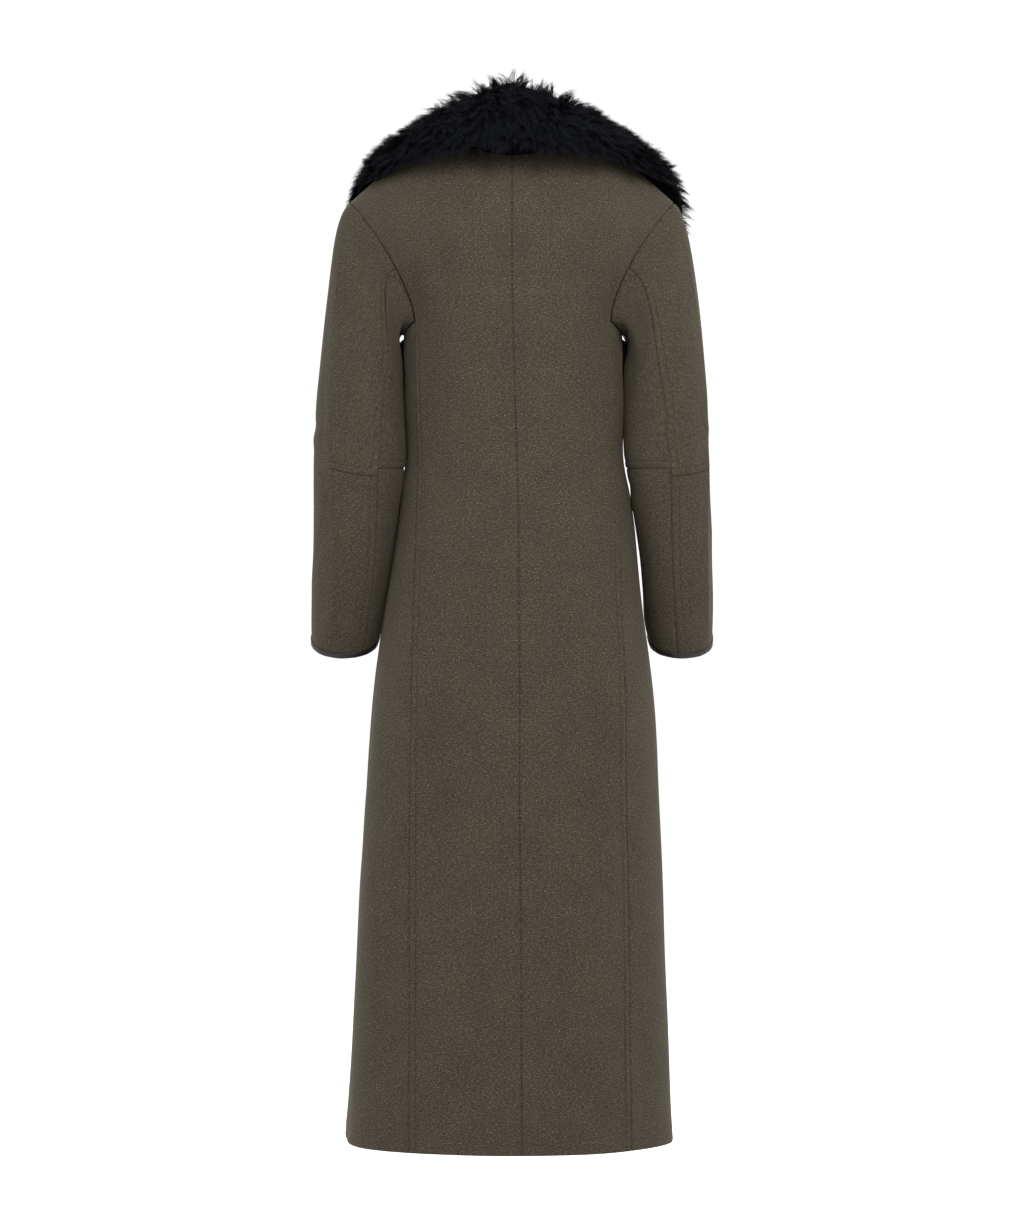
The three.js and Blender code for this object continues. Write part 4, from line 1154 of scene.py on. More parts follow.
@dataclass
class WoolPanels:
    """Every wool panel of the coat, each a thin shell with its seams, creases and sewn lines."""

    body: BodyForm
    sleeve: SleeveForm
    seed: int = 11
    step: float = 8.0
    sleeve_step: float = 6.5
    yoke_steps: int = 42
    back_width: float = 148.0
    side_width: float = 90.0
    under_width: float = 75.0
    chest_width: float = 265.0
    upper_arm: float = 330.0
    forearm: float = 222.0
    sleeve_gap: float = 0.004
    row_gap: float = 0.002
    waves: Tuple[Tuple[float, float], ...] = ((150.0, 0.7), (95.0, 0.45), (60.0, 0.28))
    waves_each: int = 3
    calm_edge: float = 25.0
    crease_edge: float = 8.0
    pinch: float = 0.7
    pinch_width: float = 1.2
    seam_reach: float = 0.16
    thread_sunk: float = 0.35
    lines: List[Tuple[Array, Array]] = field(default_factory=list)

    def undulation(self, points: Array) -> Array:
        """A faint unevenness of the hanging cloth in mm."""
        draw = np.random.default_rng(self.seed)
        lift = np.zeros(points.shape[:2])
        for size, height in self.waves:
            for _ in range(self.waves_each):
                way = unit(draw.normal(size=3) * np.array([1.0, 1.0, 0.45])) * 2.0 * math.pi / size
                lift += height / 1.7 * np.sin(points @ way + draw.uniform(0.0, 2.0 * math.pi))
        return lift

    def panel(
        self,
        name: str,
        nodes: Sequence[str],
        grid: ClothGrid,
        looks: Sequence[SeamLook],
        creases: Sequence[Crease],
        material: Material,
    ) -> Piece:
        """Makes one panel.

        Args:
            name: the piece's name.
            nodes: the frame's nodes that it stands for.
            grid: its outer skin.
            looks: how it is sewn at its borders.
            creases: its creases.
            material: the wool.

        Returns:
            The panel's object.
        """
        grid = grid.sewn_out(self.seam_reach)
        cut = grid.cut()
        calm = np.minimum.reduce([smooth(grid.distance(b) / self.calm_edge) for b in Border])
        lift = self.undulation(grid.points) * calm
        sewn = np.minimum.reduce([grid.distance(look.border) for look in looks])
        free = smooth(sewn / self.crease_edge)
        for crease in creases:
            lift = lift + crease.lift(grid.across, grid.along) * free
        for look in looks:
            lift = lift + look.lift(grid)
            if look.stitch:
                path, way = grid.line(look.border, look.stitch, look.covers)
                self.lines.append((path - way * self.thread_sunk, way))
        nearest = np.minimum.reduce([grid.distance(b) for b in Border])
        pinch = self.pinch * bell(nearest / self.pinch_width)
        outer = grid.points + grid.normals * (lift - pinch)[..., None]
        inner = grid.points + grid.normals * (lift - self.body.cloth + pinch * 0.9)[..., None]
        uv = np.stack([grid.across, grid.along], axis=-1) * MM
        made = MeshMaker.wall(name, outer, inner, grid.cells, uv)
        dress(made, material, "wool", *nodes)
        log.info("%s cut %.3f x %.3f m, %.4f m2", name, cut.width, cut.length, cut.area)
        return made

    def body_rows(self) -> Array:
        """The rows that every panel of the body shares, from the hem to the shoulder."""
        high = abs(self.body.hem_z - self.body.underarm_z)
        lower = closing_steps(high, self.step) * self.body.lower_rows
        upper = np.linspace(self.body.lower_rows, self.body.lower_rows + self.body.yoke_rows, self.yoke_steps)
        return np.concatenate([lower, upper[1:]])

    def body_grid(
        self, surface: Surface, columns: Array, rows: Array, cells: Optional[Array] = None
    ) -> ClothGrid:
        """A panel of the body as a grid.

        Args:
            surface: the panel's surface.
            columns: its columns.
            rows: its rows, from the hem up.
            cells: which cells are cloth. Without it all are.

        Returns:
            The grid with the way out at each point.
        """
        i, j = np.meshgrid(columns, rows)
        points = surface(i, j)
        inside = points * np.array([INWARD, 0.0, 1.0]) - np.array([0.0, 0.0, 20.0])
        whole = np.ones((len(rows) - 1, len(columns) - 1), bool)
        return ClothGrid(points, grid_normals(points, inside), whole if cells is None else cells)

    def build_body(self, wool: Material) -> List[Piece]:
        """Makes the backs, the side backs and the fronts.

        Args:
            wool: the cloth's finish.

        Returns:
            The six panels.
        """
        made = []
        rows = self.body_rows()
        low_rows = rows[rows <= self.body.lower_rows + 1e-9]
        for hand in Hand:
            back = closing_steps(self.back_width, self.step) * self.body.back_columns
            grid = self.body_grid(self.body.back(hand.value), back, rows)
            looks = (
                SeamLook(Border.START, sink=1.0),
                SeamLook(Border.END, stitch=8.7, ridge=0.8, ceiling=self.body.underarm_z),
                SeamLook(Border.TOP, sink=0.8),
            )
            nodes = stretches("back", hand)
            made.append(self.panel(f"wool_back_{hand.word}", nodes, grid, looks, BACK_CREASES[hand], wool))
            side = closing_steps(self.side_width, self.step) * self.body.side_columns
            grid = self.body_grid(self.body.side_back(hand.value), side, low_rows)
            looks = (SeamLook(Border.START), SeamLook(Border.END), SeamLook(Border.TOP))
            nodes = stretches("side_back", hand)[:-1]
            name = f"wool_side_back_{hand.word}"
            made.append(self.panel(name, nodes, grid, looks, SIDE_CREASES[hand], wool))
            under = closing_steps(self.under_width, self.step) * self.body.front_underarm
            chest_columns = self.body.front_columns - self.body.front_underarm
            chest = closing_steps(self.chest_width, self.step) * chest_columns
            columns = np.concatenate([under, chest[1:] + self.body.front_underarm])
            cells = np.ones((len(rows) - 1, len(columns) - 1), bool)
            cells[len(low_rows) - 1 :, : len(under) - 1] = False
            grid = self.body_grid(self.body.front(hand.value), columns, rows, cells)
            edge = SeamLook(Border.END, sink=0.2, stitch=7.0, ridge=0.3)
            looks = (SeamLook(Border.START), SeamLook(Border.TOP), edge)
            nodes = stretches("front", hand)
            made.append(self.panel(f"wool_front_{hand.word}", nodes, grid, looks, FRONT_CREASES[hand], wool))
        return made

    def sleeve_grid(self, hand: Hand, columns: Array, rows: Array) -> ClothGrid:
        """A part of a sleeve as a grid, its first row at the top."""
        points = self.sleeve.skin(hand.value, columns, rows)
        tall = self.sleeve.skin(hand.value, np.arange(self.sleeve.columns) + 0.001, rows)
        middle = np.broadcast_to(tall.mean(axis=1, keepdims=True), points.shape)
        whole = np.ones((len(rows) - 1, len(columns) - 1), bool)
        return ClothGrid(points, grid_normals(points, middle), whole)

    def sleeve_rows(self, first: int, last: int) -> Array:
        """Rows from one seam of a sleeve to the next, in the columns' own measure."""
        upper = self.upper_arm if first < self.sleeve.elbow_row else 0.0
        lower = self.forearm if last > self.sleeve.elbow_row else 0.0
        return first + closing_steps(upper + lower, self.sleeve_step) * (last - first)

    def build_sleeves(self, wool: Material) -> List[Piece]:
        """Makes the five panels of each sleeve.

        Args:
            wool: the cloth's finish.

        Returns:
            The ten panels.
        """
        made = []
        gap, short = self.sleeve_gap, self.row_gap
        for hand in Hand:
            for key, (name, first, last, top, bottom, width, looks) in SLEEVE_PANELS.items():
                columns = first + gap + closing_steps(width, self.sleeve_step) * (last - first - 2 * gap)
                rows = self.sleeve_rows(top, bottom)
                span = bottom - top
                rows = top + (rows - top) * (1.0 - short / span) + (short if top else 0.0)
                grid = self.sleeve_grid(hand, columns, rows)
                node = f"{name}_{hand.word}"
                creases = SLEEVE_CREASES.get((key, hand), ())
                made.append(self.panel(f"wool_{node}", (node,), grid, looks, creases, wool))
        return made


# Creases as they show in the photograph, and similar ones on the sides that it hides.
BACK_CREASES: Dict[Hand, Tuple[Crease, ...]] = {
    Hand.LEFT: (
        Crease(152, 1146, 96, 36, 7, 2.4), Crease(138, 1136, 100, 40, 8, -2.0),
        Crease(108, 1116, 118, 30, 9, 1.8),
        Crease(96, 1096, 124, 26, 9, -1.3), Crease(112, 902, 18, 34, 10, 1.1),
        Crease(60, 872, 6, 46, 12, -0.9),
        Crease(74, 560, 96, 150, 16, 1.2), Crease(118, 330, 92, 170, 18, -1.3),
        Crease(42, 250, 88, 160, 20, 1.0),
    ),
    Hand.RIGHT: (
        Crease(158, 1150, 94, 42, 7, 2.7), Crease(143, 1140, 97, 40, 8, -2.2),
        Crease(118, 1112, 122, 28, 9, 1.4),
        Crease(104, 910, 14, 30, 10, 0.9), Crease(52, 880, -8, 44, 12, -0.8),
        Crease(88, 600, 92, 140, 17, -1.1),
        Crease(110, 300, 88, 190, 18, 1.3), Crease(36, 420, 93, 130, 18, -0.9),
    ),
}
SIDE_CREASES: Dict[Hand, Tuple[Crease, ...]] = {
    Hand.LEFT: (
        Crease(34, 1040, 62, 30, 8, 1.7), Crease(50, 1020, 48, 30, 9, -1.4), Crease(40, 870, 10, 28, 11, 1.1),
        Crease(56, 420, 90, 170, 16, 1.2), Crease(30, 210, 86, 150, 16, -1.2),
    ),
    Hand.RIGHT: (
        Crease(30, 1046, 58, 32, 8, 1.9), Crease(46, 1018, 50, 26, 9, -1.5), Crease(36, 858, -6, 30, 11, 1.0),
        Crease(60, 380, 94, 180, 16, -1.2), Crease(34, 180, 90, 130, 17, 1.3),
    ),
}
FRONT_CREASES: Dict[Hand, Tuple[Crease, ...]] = {
    Hand.LEFT: (
        Crease(12, 920, 90, 300, 9, 5.8), Crease(16, 1050, 90, 34, 10, 5.0),
        Crease(84, 1132, 84, 36, 8, 2.2), Crease(100, 1118, 78, 40, 9, -1.9),
        Crease(128, 1092, 60, 30, 10, 1.4),
        Crease(90, 905, -10, 40, 11, 1.2), Crease(150, 880, 6, 40, 12, -0.9),
        Crease(120, 500, 92, 180, 18, 1.3),
        Crease(200, 300, 88, 170, 18, -1.2),
    ),
    Hand.RIGHT: (
        Crease(12, 935, 90, 210, 9, 5.8), Crease(16, 1050, 90, 34, 10, 5.0),
        Crease(88, 1128, 82, 38, 8, 2.4), Crease(104, 1114, 76, 38, 9, -1.9),
        Crease(134, 1096, 58, 26, 10, 1.3),
        Crease(84, 898, -12, 38, 11, 1.2), Crease(160, 886, 4, 44, 12, -0.9),
        Crease(130, 460, 88, 190, 18, -1.3),
        Crease(210, 260, 92, 160, 18, 1.2),
    ),
}
# Each sleeve panel's name, first and last column, first and last row, width in mm, and seams.
SLEEVE_PANELS: Dict[str, Tuple[str, int, int, int, int, float, Tuple[SeamLook, ...]]] = {
    "top": (
        "sleeve_top", 4, 13, 0, 18, 170.0,
        (SeamLook(Border.START, -1.1), SeamLook(Border.END, 0.6), SeamLook(Border.BOTTOM, 0.9)),
    ),
    "back upper": (
        "sleeve_back_upper", 0, 4, 0, 10, 70.0,
        (
            SeamLook(Border.START, stitch=10.6, ridge=0.7), SeamLook(Border.END, -1.1),
            SeamLook(Border.BOTTOM, 0.9), SeamLook(Border.TOP, stitch=10.0, ridge=0.6),
        ),
    ),
    "back lower": (
        "sleeve_back_lower", 0, 4, 10, 18, 60.0,
        (
            SeamLook(Border.START, stitch=10.6, ridge=0.7), SeamLook(Border.END, -1.1),
            SeamLook(Border.BOTTOM, 0.9),
        ),
    ),
    "under upper": (
        "sleeve_under_upper", 13, 25, 0, 10, 190.0,
        (
            SeamLook(Border.START, 0.6), SeamLook(Border.END), SeamLook(Border.BOTTOM, 0.9),
            SeamLook(Border.TOP, stitch=10.0, ridge=0.6),
        ),
    ),
    "under lower": (
        "sleeve_under_lower", 13, 25, 10, 18, 150.0,
        (SeamLook(Border.START, 0.6), SeamLook(Border.END), SeamLook(Border.BOTTOM, 0.9)),
    ),
}
SLEEVE_CREASES: Dict[Tuple[str, Hand], Tuple[Crease, ...]] = {
    ("top", Hand.LEFT): (
        Crease(60, 70, 84, 40, 9, 1.3), Crease(40, 300, 12, 32, 8, -1.5), Crease(52, 322, 8, 34, 8, 1.4),
        Crease(20, 400, 80, 46, 6, 1.3), Crease(34, 470, 70, 34, 7, -1.2), Crease(118, 330, -14, 30, 9, 1.5),
        Crease(112, 355, -10, 30, 9, -1.4), Crease(60, 505, 88, 30, 6, 1.0),
    ),
    ("top", Hand.RIGHT): (
        Crease(66, 64, 88, 44, 9, 1.2), Crease(46, 310, 10, 32, 8, 1.4), Crease(36, 336, 14, 28, 8, -1.4),
        Crease(26, 380, 84, 46, 6, -1.1), Crease(22, 440, 72, 40, 7, 1.4), Crease(122, 318, -12, 30, 9, -1.4),
        Crease(114, 342, -9, 32, 9, 1.5), Crease(70, 500, 92, 34, 6, 0.9),
    ),
    ("back upper", Hand.LEFT): (
        Crease(34, 296, 8, 22, 7, 1.4), Crease(30, 278, 12, 20, 7, -1.1), Crease(36, 120, 88, 60, 9, 0.9),
    ),
    ("back upper", Hand.RIGHT): (
        Crease(30, 300, -6, 22, 7, 1.3), Crease(36, 276, -12, 20, 7, -1.2), Crease(34, 140, 92, 60, 9, 0.9),
    ),
    ("back lower", Hand.LEFT): (
        Crease(28, 22, 6, 22, 7, -1.4), Crease(30, 60, 82, 40, 7, 1.5), Crease(20, 130, 74, 36, 7, -1.1),
    ),
    ("back lower", Hand.RIGHT): (
        Crease(30, 24, -8, 22, 7, -1.3), Crease(32, 70, 98, 40, 7, 1.4), Crease(24, 140, 104, 34, 7, -1.1),
    ),
    ("under upper", Hand.LEFT): (
        Crease(60, 60, 70, 36, 9, 1.6), Crease(90, 80, 96, 40, 10, -1.5), Crease(70, 250, 8, 34, 8, 1.7),
        Crease(80, 274, 4, 36, 8, -1.6), Crease(120, 262, -8, 30, 8, 1.4), Crease(232, 44, 88, 56, 14, -4.5),
    ),
    ("under upper", Hand.RIGHT): (
        Crease(66, 56, 74, 36, 9, 1.6), Crease(96, 84, 98, 38, 10, -1.5), Crease(74, 246, 6, 34, 8, -1.7),
        Crease(84, 270, 10, 36, 8, 1.6), Crease(126, 256, -6, 30, 8, -1.4), Crease(230, 48, 92, 52, 14, -4.2),
    ),
    ("under lower", Hand.LEFT): (
        Crease(60, 24, 6, 34, 8, 1.6), Crease(74, 46, 12, 30, 8, -1.4), Crease(90, 120, 84, 44, 8, 1.2),
    ),
    ("under lower", Hand.RIGHT): (
        Crease(64, 26, 8, 34, 8, -1.6), Crease(70, 50, 4, 30, 8, 1.5), Crease(84, 126, 96, 44, 8, -1.2),
    ),
}


@dataclass
class Stitching:
    """The sewn lines, as short stitches sunk a little into the wool."""

    pitch: float = 4.3
    length: float = 3.0
    radius: float = 0.38
    around: int = 4
    uneven: float = 0.25
    seed: int = 5

    def stitches(self, path: Array, way: Array) -> Array:
        """Lays stitches along one line.

        Args:
            path: the line's points in mm.
            way: the way out of the cloth at each.

        Returns:
            Points by stitch, place along it and place round it.
        """
        steps = np.linalg.norm(np.diff(path, axis=0), axis=1)
        run = np.concatenate([[0.0], np.cumsum(steps)])
        starts = np.arange(1.0, run[-1] - self.length, self.pitch)
        draw = np.random.default_rng(self.seed)
        starts = starts + draw.uniform(-self.uneven, self.uneven, len(starts))
        shares = np.array([0.0, 0.12, 0.5, 0.88, 1.0])
        swell = np.array([0.25, 0.9, 1.0, 0.9, 0.25]) * self.radius
        dip = np.array([-0.45, -0.1, 0.12, -0.1, -0.45])
        places = starts[:, None] + shares * self.length
        centre = np.stack([np.interp(places, run, path[:, k]) for k in range(3)], axis=-1)
        out = unit(np.stack([np.interp(places, run, way[:, k]) for k in range(3)], axis=-1))
        centre = centre + out * dip[None, :, None]
        forward = unit(np.gradient(centre, axis=1))
        beside = unit(np.cross(forward, out))
        angle = np.linspace(0.0, 2.0 * math.pi, self.around, endpoint=False)
        cosine, sine = np.cos(angle)[None, None, :, None], np.sin(angle)[None, None, :, None]
        round_it = beside[:, :, None] * cosine + out[:, :, None] * sine
        return centre[:, :, None] + round_it * swell[None, :, None, None]

    def build(self, name: str, lines: Sequence[Tuple[Array, Array]], material: Material) -> Piece:
        """Joins the stitches of all lines into one piece."""
        every = np.concatenate([self.stitches(path, way) for path, way in lines if len(path) > 2])
        count, long, around = every.shape[:3]
        place = np.arange(count * long * around).reshape(count, long, around)
        after = np.roll(place, -1, axis=2)
        sides = np.stack([place[:, :-1], place[:, 1:], after[:, 1:], after[:, :-1]], axis=-1).reshape(-1, 4)
        faces = np.concatenate([sides, place[:, 0], place[:, -1, ::-1]])
        points = every.reshape(-1, 3)
        uv = points[:, [0, 2]] * MM
        return dress(MeshMaker.piece(name, points, faces, uv), material, "wool")


@dataclass
class CuffBinding:
    """The dark leather that wraps the raw edge of each cuff."""

    sleeve: SleeveForm
    width: float = 7.0
    proud: float = 0.9

    def profile(self, edge: Array, inner: Array, down: Array, out: Array, gap: float) -> Array:
        """One side of the leather's section, from the outside over the edge to the inside."""
        half = np.linalg.norm(edge - inner, axis=-1, keepdims=True) / 2.0 + gap
        middle = (edge + inner) / 2.0
        points = [middle + out * half - down * (self.width * s) for s in (1.0, 0.6, 0.25, 0.0)]
        for turn in range(30, 180, 30):
            angle = math.radians(turn)
            points.append(middle + out * half * math.cos(angle) + down * half * math.sin(angle) * 0.8)
        points += [middle - out * half - down * (self.width * s) for s in (0.0, 0.25, 0.6, 1.0)]
        return np.stack(points, axis=1)

    def build(self, hand: Hand, cloth: float, leather: Material) -> Piece:
        """Makes one cuff's binding."""
        columns = np.arange(0, self.sleeve.columns, 0.2)
        rows = np.array([self.sleeve.rows - 0.3, float(self.sleeve.rows)])
        skin = self.sleeve.skin(hand.value, columns, rows)
        edge, above = skin[1], skin[0]
        down = unit(edge - above)
        round_it = unit(np.roll(edge, -1, axis=0) - np.roll(edge, 1, axis=0))
        out = unit(np.cross(round_it, down))
        facing = np.sum(out * (edge - edge.mean(axis=0)), axis=-1).mean()
        out = out if facing > 0 else -out
        wave = 0.18 * np.sin(columns * 2.9) + 0.12 * np.sin(columns * 7.3 + 1.0)
        inner = edge - out * cloth
        outer_side = self.profile(edge, inner, down, out, 0.3 + self.proud)
        outer_side[:, :9] += (out * wave[:, None])[:, None]
        inner_side = self.profile(edge, inner, down, out, 0.3)[:, ::-1]
        sections = np.concatenate([outer_side, inner_side], axis=1)
        place = np.arange(sections.shape[1]) * 1.2
        uv = np.stack(np.meshgrid(place, np.cumsum(np.ones(len(columns)) * 3.0)), axis=-1) * MM
        made = MeshMaker.ring(f"leather_cuff_binding_{hand.word}", sections, uv)
        dress(made, leather, "leather", f"cuff_binding_{hand.word}")
        return made


@dataclass(frozen=True)
class CollarForm:
    """The skin of the collar's halves and the depth of fur on it, in mm."""

    body: BodyForm
    pile: float = 22.0
    hide: float = 3.0
    rise: float = 0.9
    neck_share: float = 0.4
    end: float = 0.56
    columns: int = 18
    rows: int = 11
    stations: StationTable = StationTable(
        "along crestX crestY crestZ midX midY midZ edgeX edgeY edgeZ",
        (
            (0, 0, 82, 60, 0, 110, 30, 0, 121, -18),
            (0.14, 44, 72, 45, 60, 99, 18, 70, 114, -25),
            (0.28, 76, 42, 30, 106, 66, 6, 130, 84, -36),
            (0.4, 92, 4, 20, 140, 24, -7, 184, 44, -57),
            (0.5, 95, -36, 12, 154, -26, -9, 213, -6, -62),
            (0.62, 88, -68, -10, 151, -84, -34, 220, -64, -112),
            (0.75, 70, -92, -42, 128, -130, -94, 192, -104, -178),
            (0.88, 48, -112, -80, 92, -152, -144, 138, -134, -234),
            (1, 25, -126, -118, 46, -156, -180, 66, -150, -258),
        ),
    )

    def seam_points(self, side: int, along: Array) -> Array:
        """The neck edge that the collar is sewn to, in the left side's coordinates."""
        body = self.body
        top = float(body.lower_rows + body.yoke_rows)
        past = (along - self.neck_share) / (1.0 - self.neck_share)
        back = body.back(side)(body.back_neck_columns * np.clip(along / self.neck_share, 0, 1), top)
        span = body.front_columns - body.front_shoulder
        share = np.clip(past, 0.0, 1.0) ** 1.5 * self.end
        front = body.front(side)(body.front_shoulder + span * share, top)
        seam = np.where((past <= 0)[:, None], back, front) * np.array([side, 1.0, 1.0])
        return seam + np.array([0.0, 0.0, self.rise])

    def skin(self, side: int, i: Array, j: Array) -> Array:
        """The collar's skin over a grid.

        Args:
            side: 1 on the wearer's left and -1 on the right.
            i: columns, from the centre back to the front end, one dimension.
            j: rows, from the neck seam over the roll to the outer edge, one dimension.

        Returns:
            Points in mm, by row and column.
        """
        along = np.clip(i / self.columns, 0.0, 1.0)
        s = self.stations.at(along)
        spread = 0.98 if side > 0 else 1.07
        stations = [
            self.seam_points(side, along),
            np.stack([s["crestX"], s["crestY"], s["crestZ"]], axis=-1),
            np.stack([s["midX"] * (1.0 + spread) / 2.0, s["midY"], s["midZ"]], axis=-1),
            np.stack([s["edgeX"] * spread, s["edgeY"], s["edgeZ"]], axis=-1),
        ]
        lead = [2 * stations[0] - stations[1], *stations, 2 * stations[3] - stations[2]]
        out = np.empty((len(j), len(i), 3))
        for k, row in enumerate(j):
            place = np.clip(row / self.rows, 0.0, 1.0) * 3.0
            part = min(int(place), 2)
            p0, p1, p2, p3 = lead[part : part + 4]
            pairs = ((p0, p1), (p1, p2), (p2, p3))
            d0, d1, d2 = (np.sqrt(np.linalg.norm(b - a, axis=-1, keepdims=True)) for a, b in pairs)
            leave = ((p1 - p0) / d0 - (p2 - p0) / (d0 + d1) + (p2 - p1) / d1) * d1
            arrive = ((p2 - p1) / d1 - (p3 - p1) / (d1 + d2) + (p3 - p2) / d2) * d1
            out[k] = hermite(p1, p2, leave, arrive, place - part)
        out[:, i <= 0, 0] = self.body.seam / 2.0
        return out * np.array([side, 1.0, 1.0])

    def depth(self, i: Array, j: Array) -> Array:
        """How deep the fur is over a grid of columns and rows."""
        share = j / self.rows
        deep = lerp(0.5, 1.0, smooth(share / 0.3)) * lerp(1.0, 0.45, smooth((share - 0.72) / 0.28))
        front = lerp(1.0, 0.7, smooth((i / self.columns - 0.6) / 0.4))
        return self.pile * deep * front


@dataclass(frozen=True)
class PileLocks:
    """How the locks of pile grow: sizes in mm, turns in radians, zones and the rest as shares.

    A pair is the least and the most, but for the zones, where it is the start and the width, and for
    turn, rise and run. turn is the spread on the fall and on the stand. rise and run are the slope and
    the bend along the lock.
    """

    edge_zone: Tuple[float, float] = (0.84, 0.115)
    front_zone: Tuple[float, float] = (0.93, 0.055)
    stand_zone: float = 0.42
    turn: Tuple[float, float] = (0.5, 1.1)
    edge_turn: float = 0.55
    edge_pull: float = 0.8
    front_pull: float = 1.8
    length: Tuple[float, float] = (17.0, 30.0)
    edge_length: float = 0.95
    stand_length: float = 0.72
    height: Tuple[float, float] = (0.75, 1.5)
    edge_height: float = 0.7
    sunk: float = 1.2
    curl_turn: float = 4.5
    curl_scale: float = 1.7
    curls: Tuple[float, float] = (0.9, 1.3)
    swing: Tuple[float, float] = (1.4, 3.0)
    rise: Tuple[float, float] = (1.75, -0.75)
    run: Tuple[float, float] = (0.42, 0.46)
    spread: Tuple[float, float] = (2.6, 4.4)
    tip_spread: Tuple[float, float] = (0.08, 0.34)
    trim: Tuple[float, float] = (0.7, 1.08)
    stray: float = 0.75
    tone_spread: float = 0.15
    width: Tuple[float, float] = (0.55, 0.85)


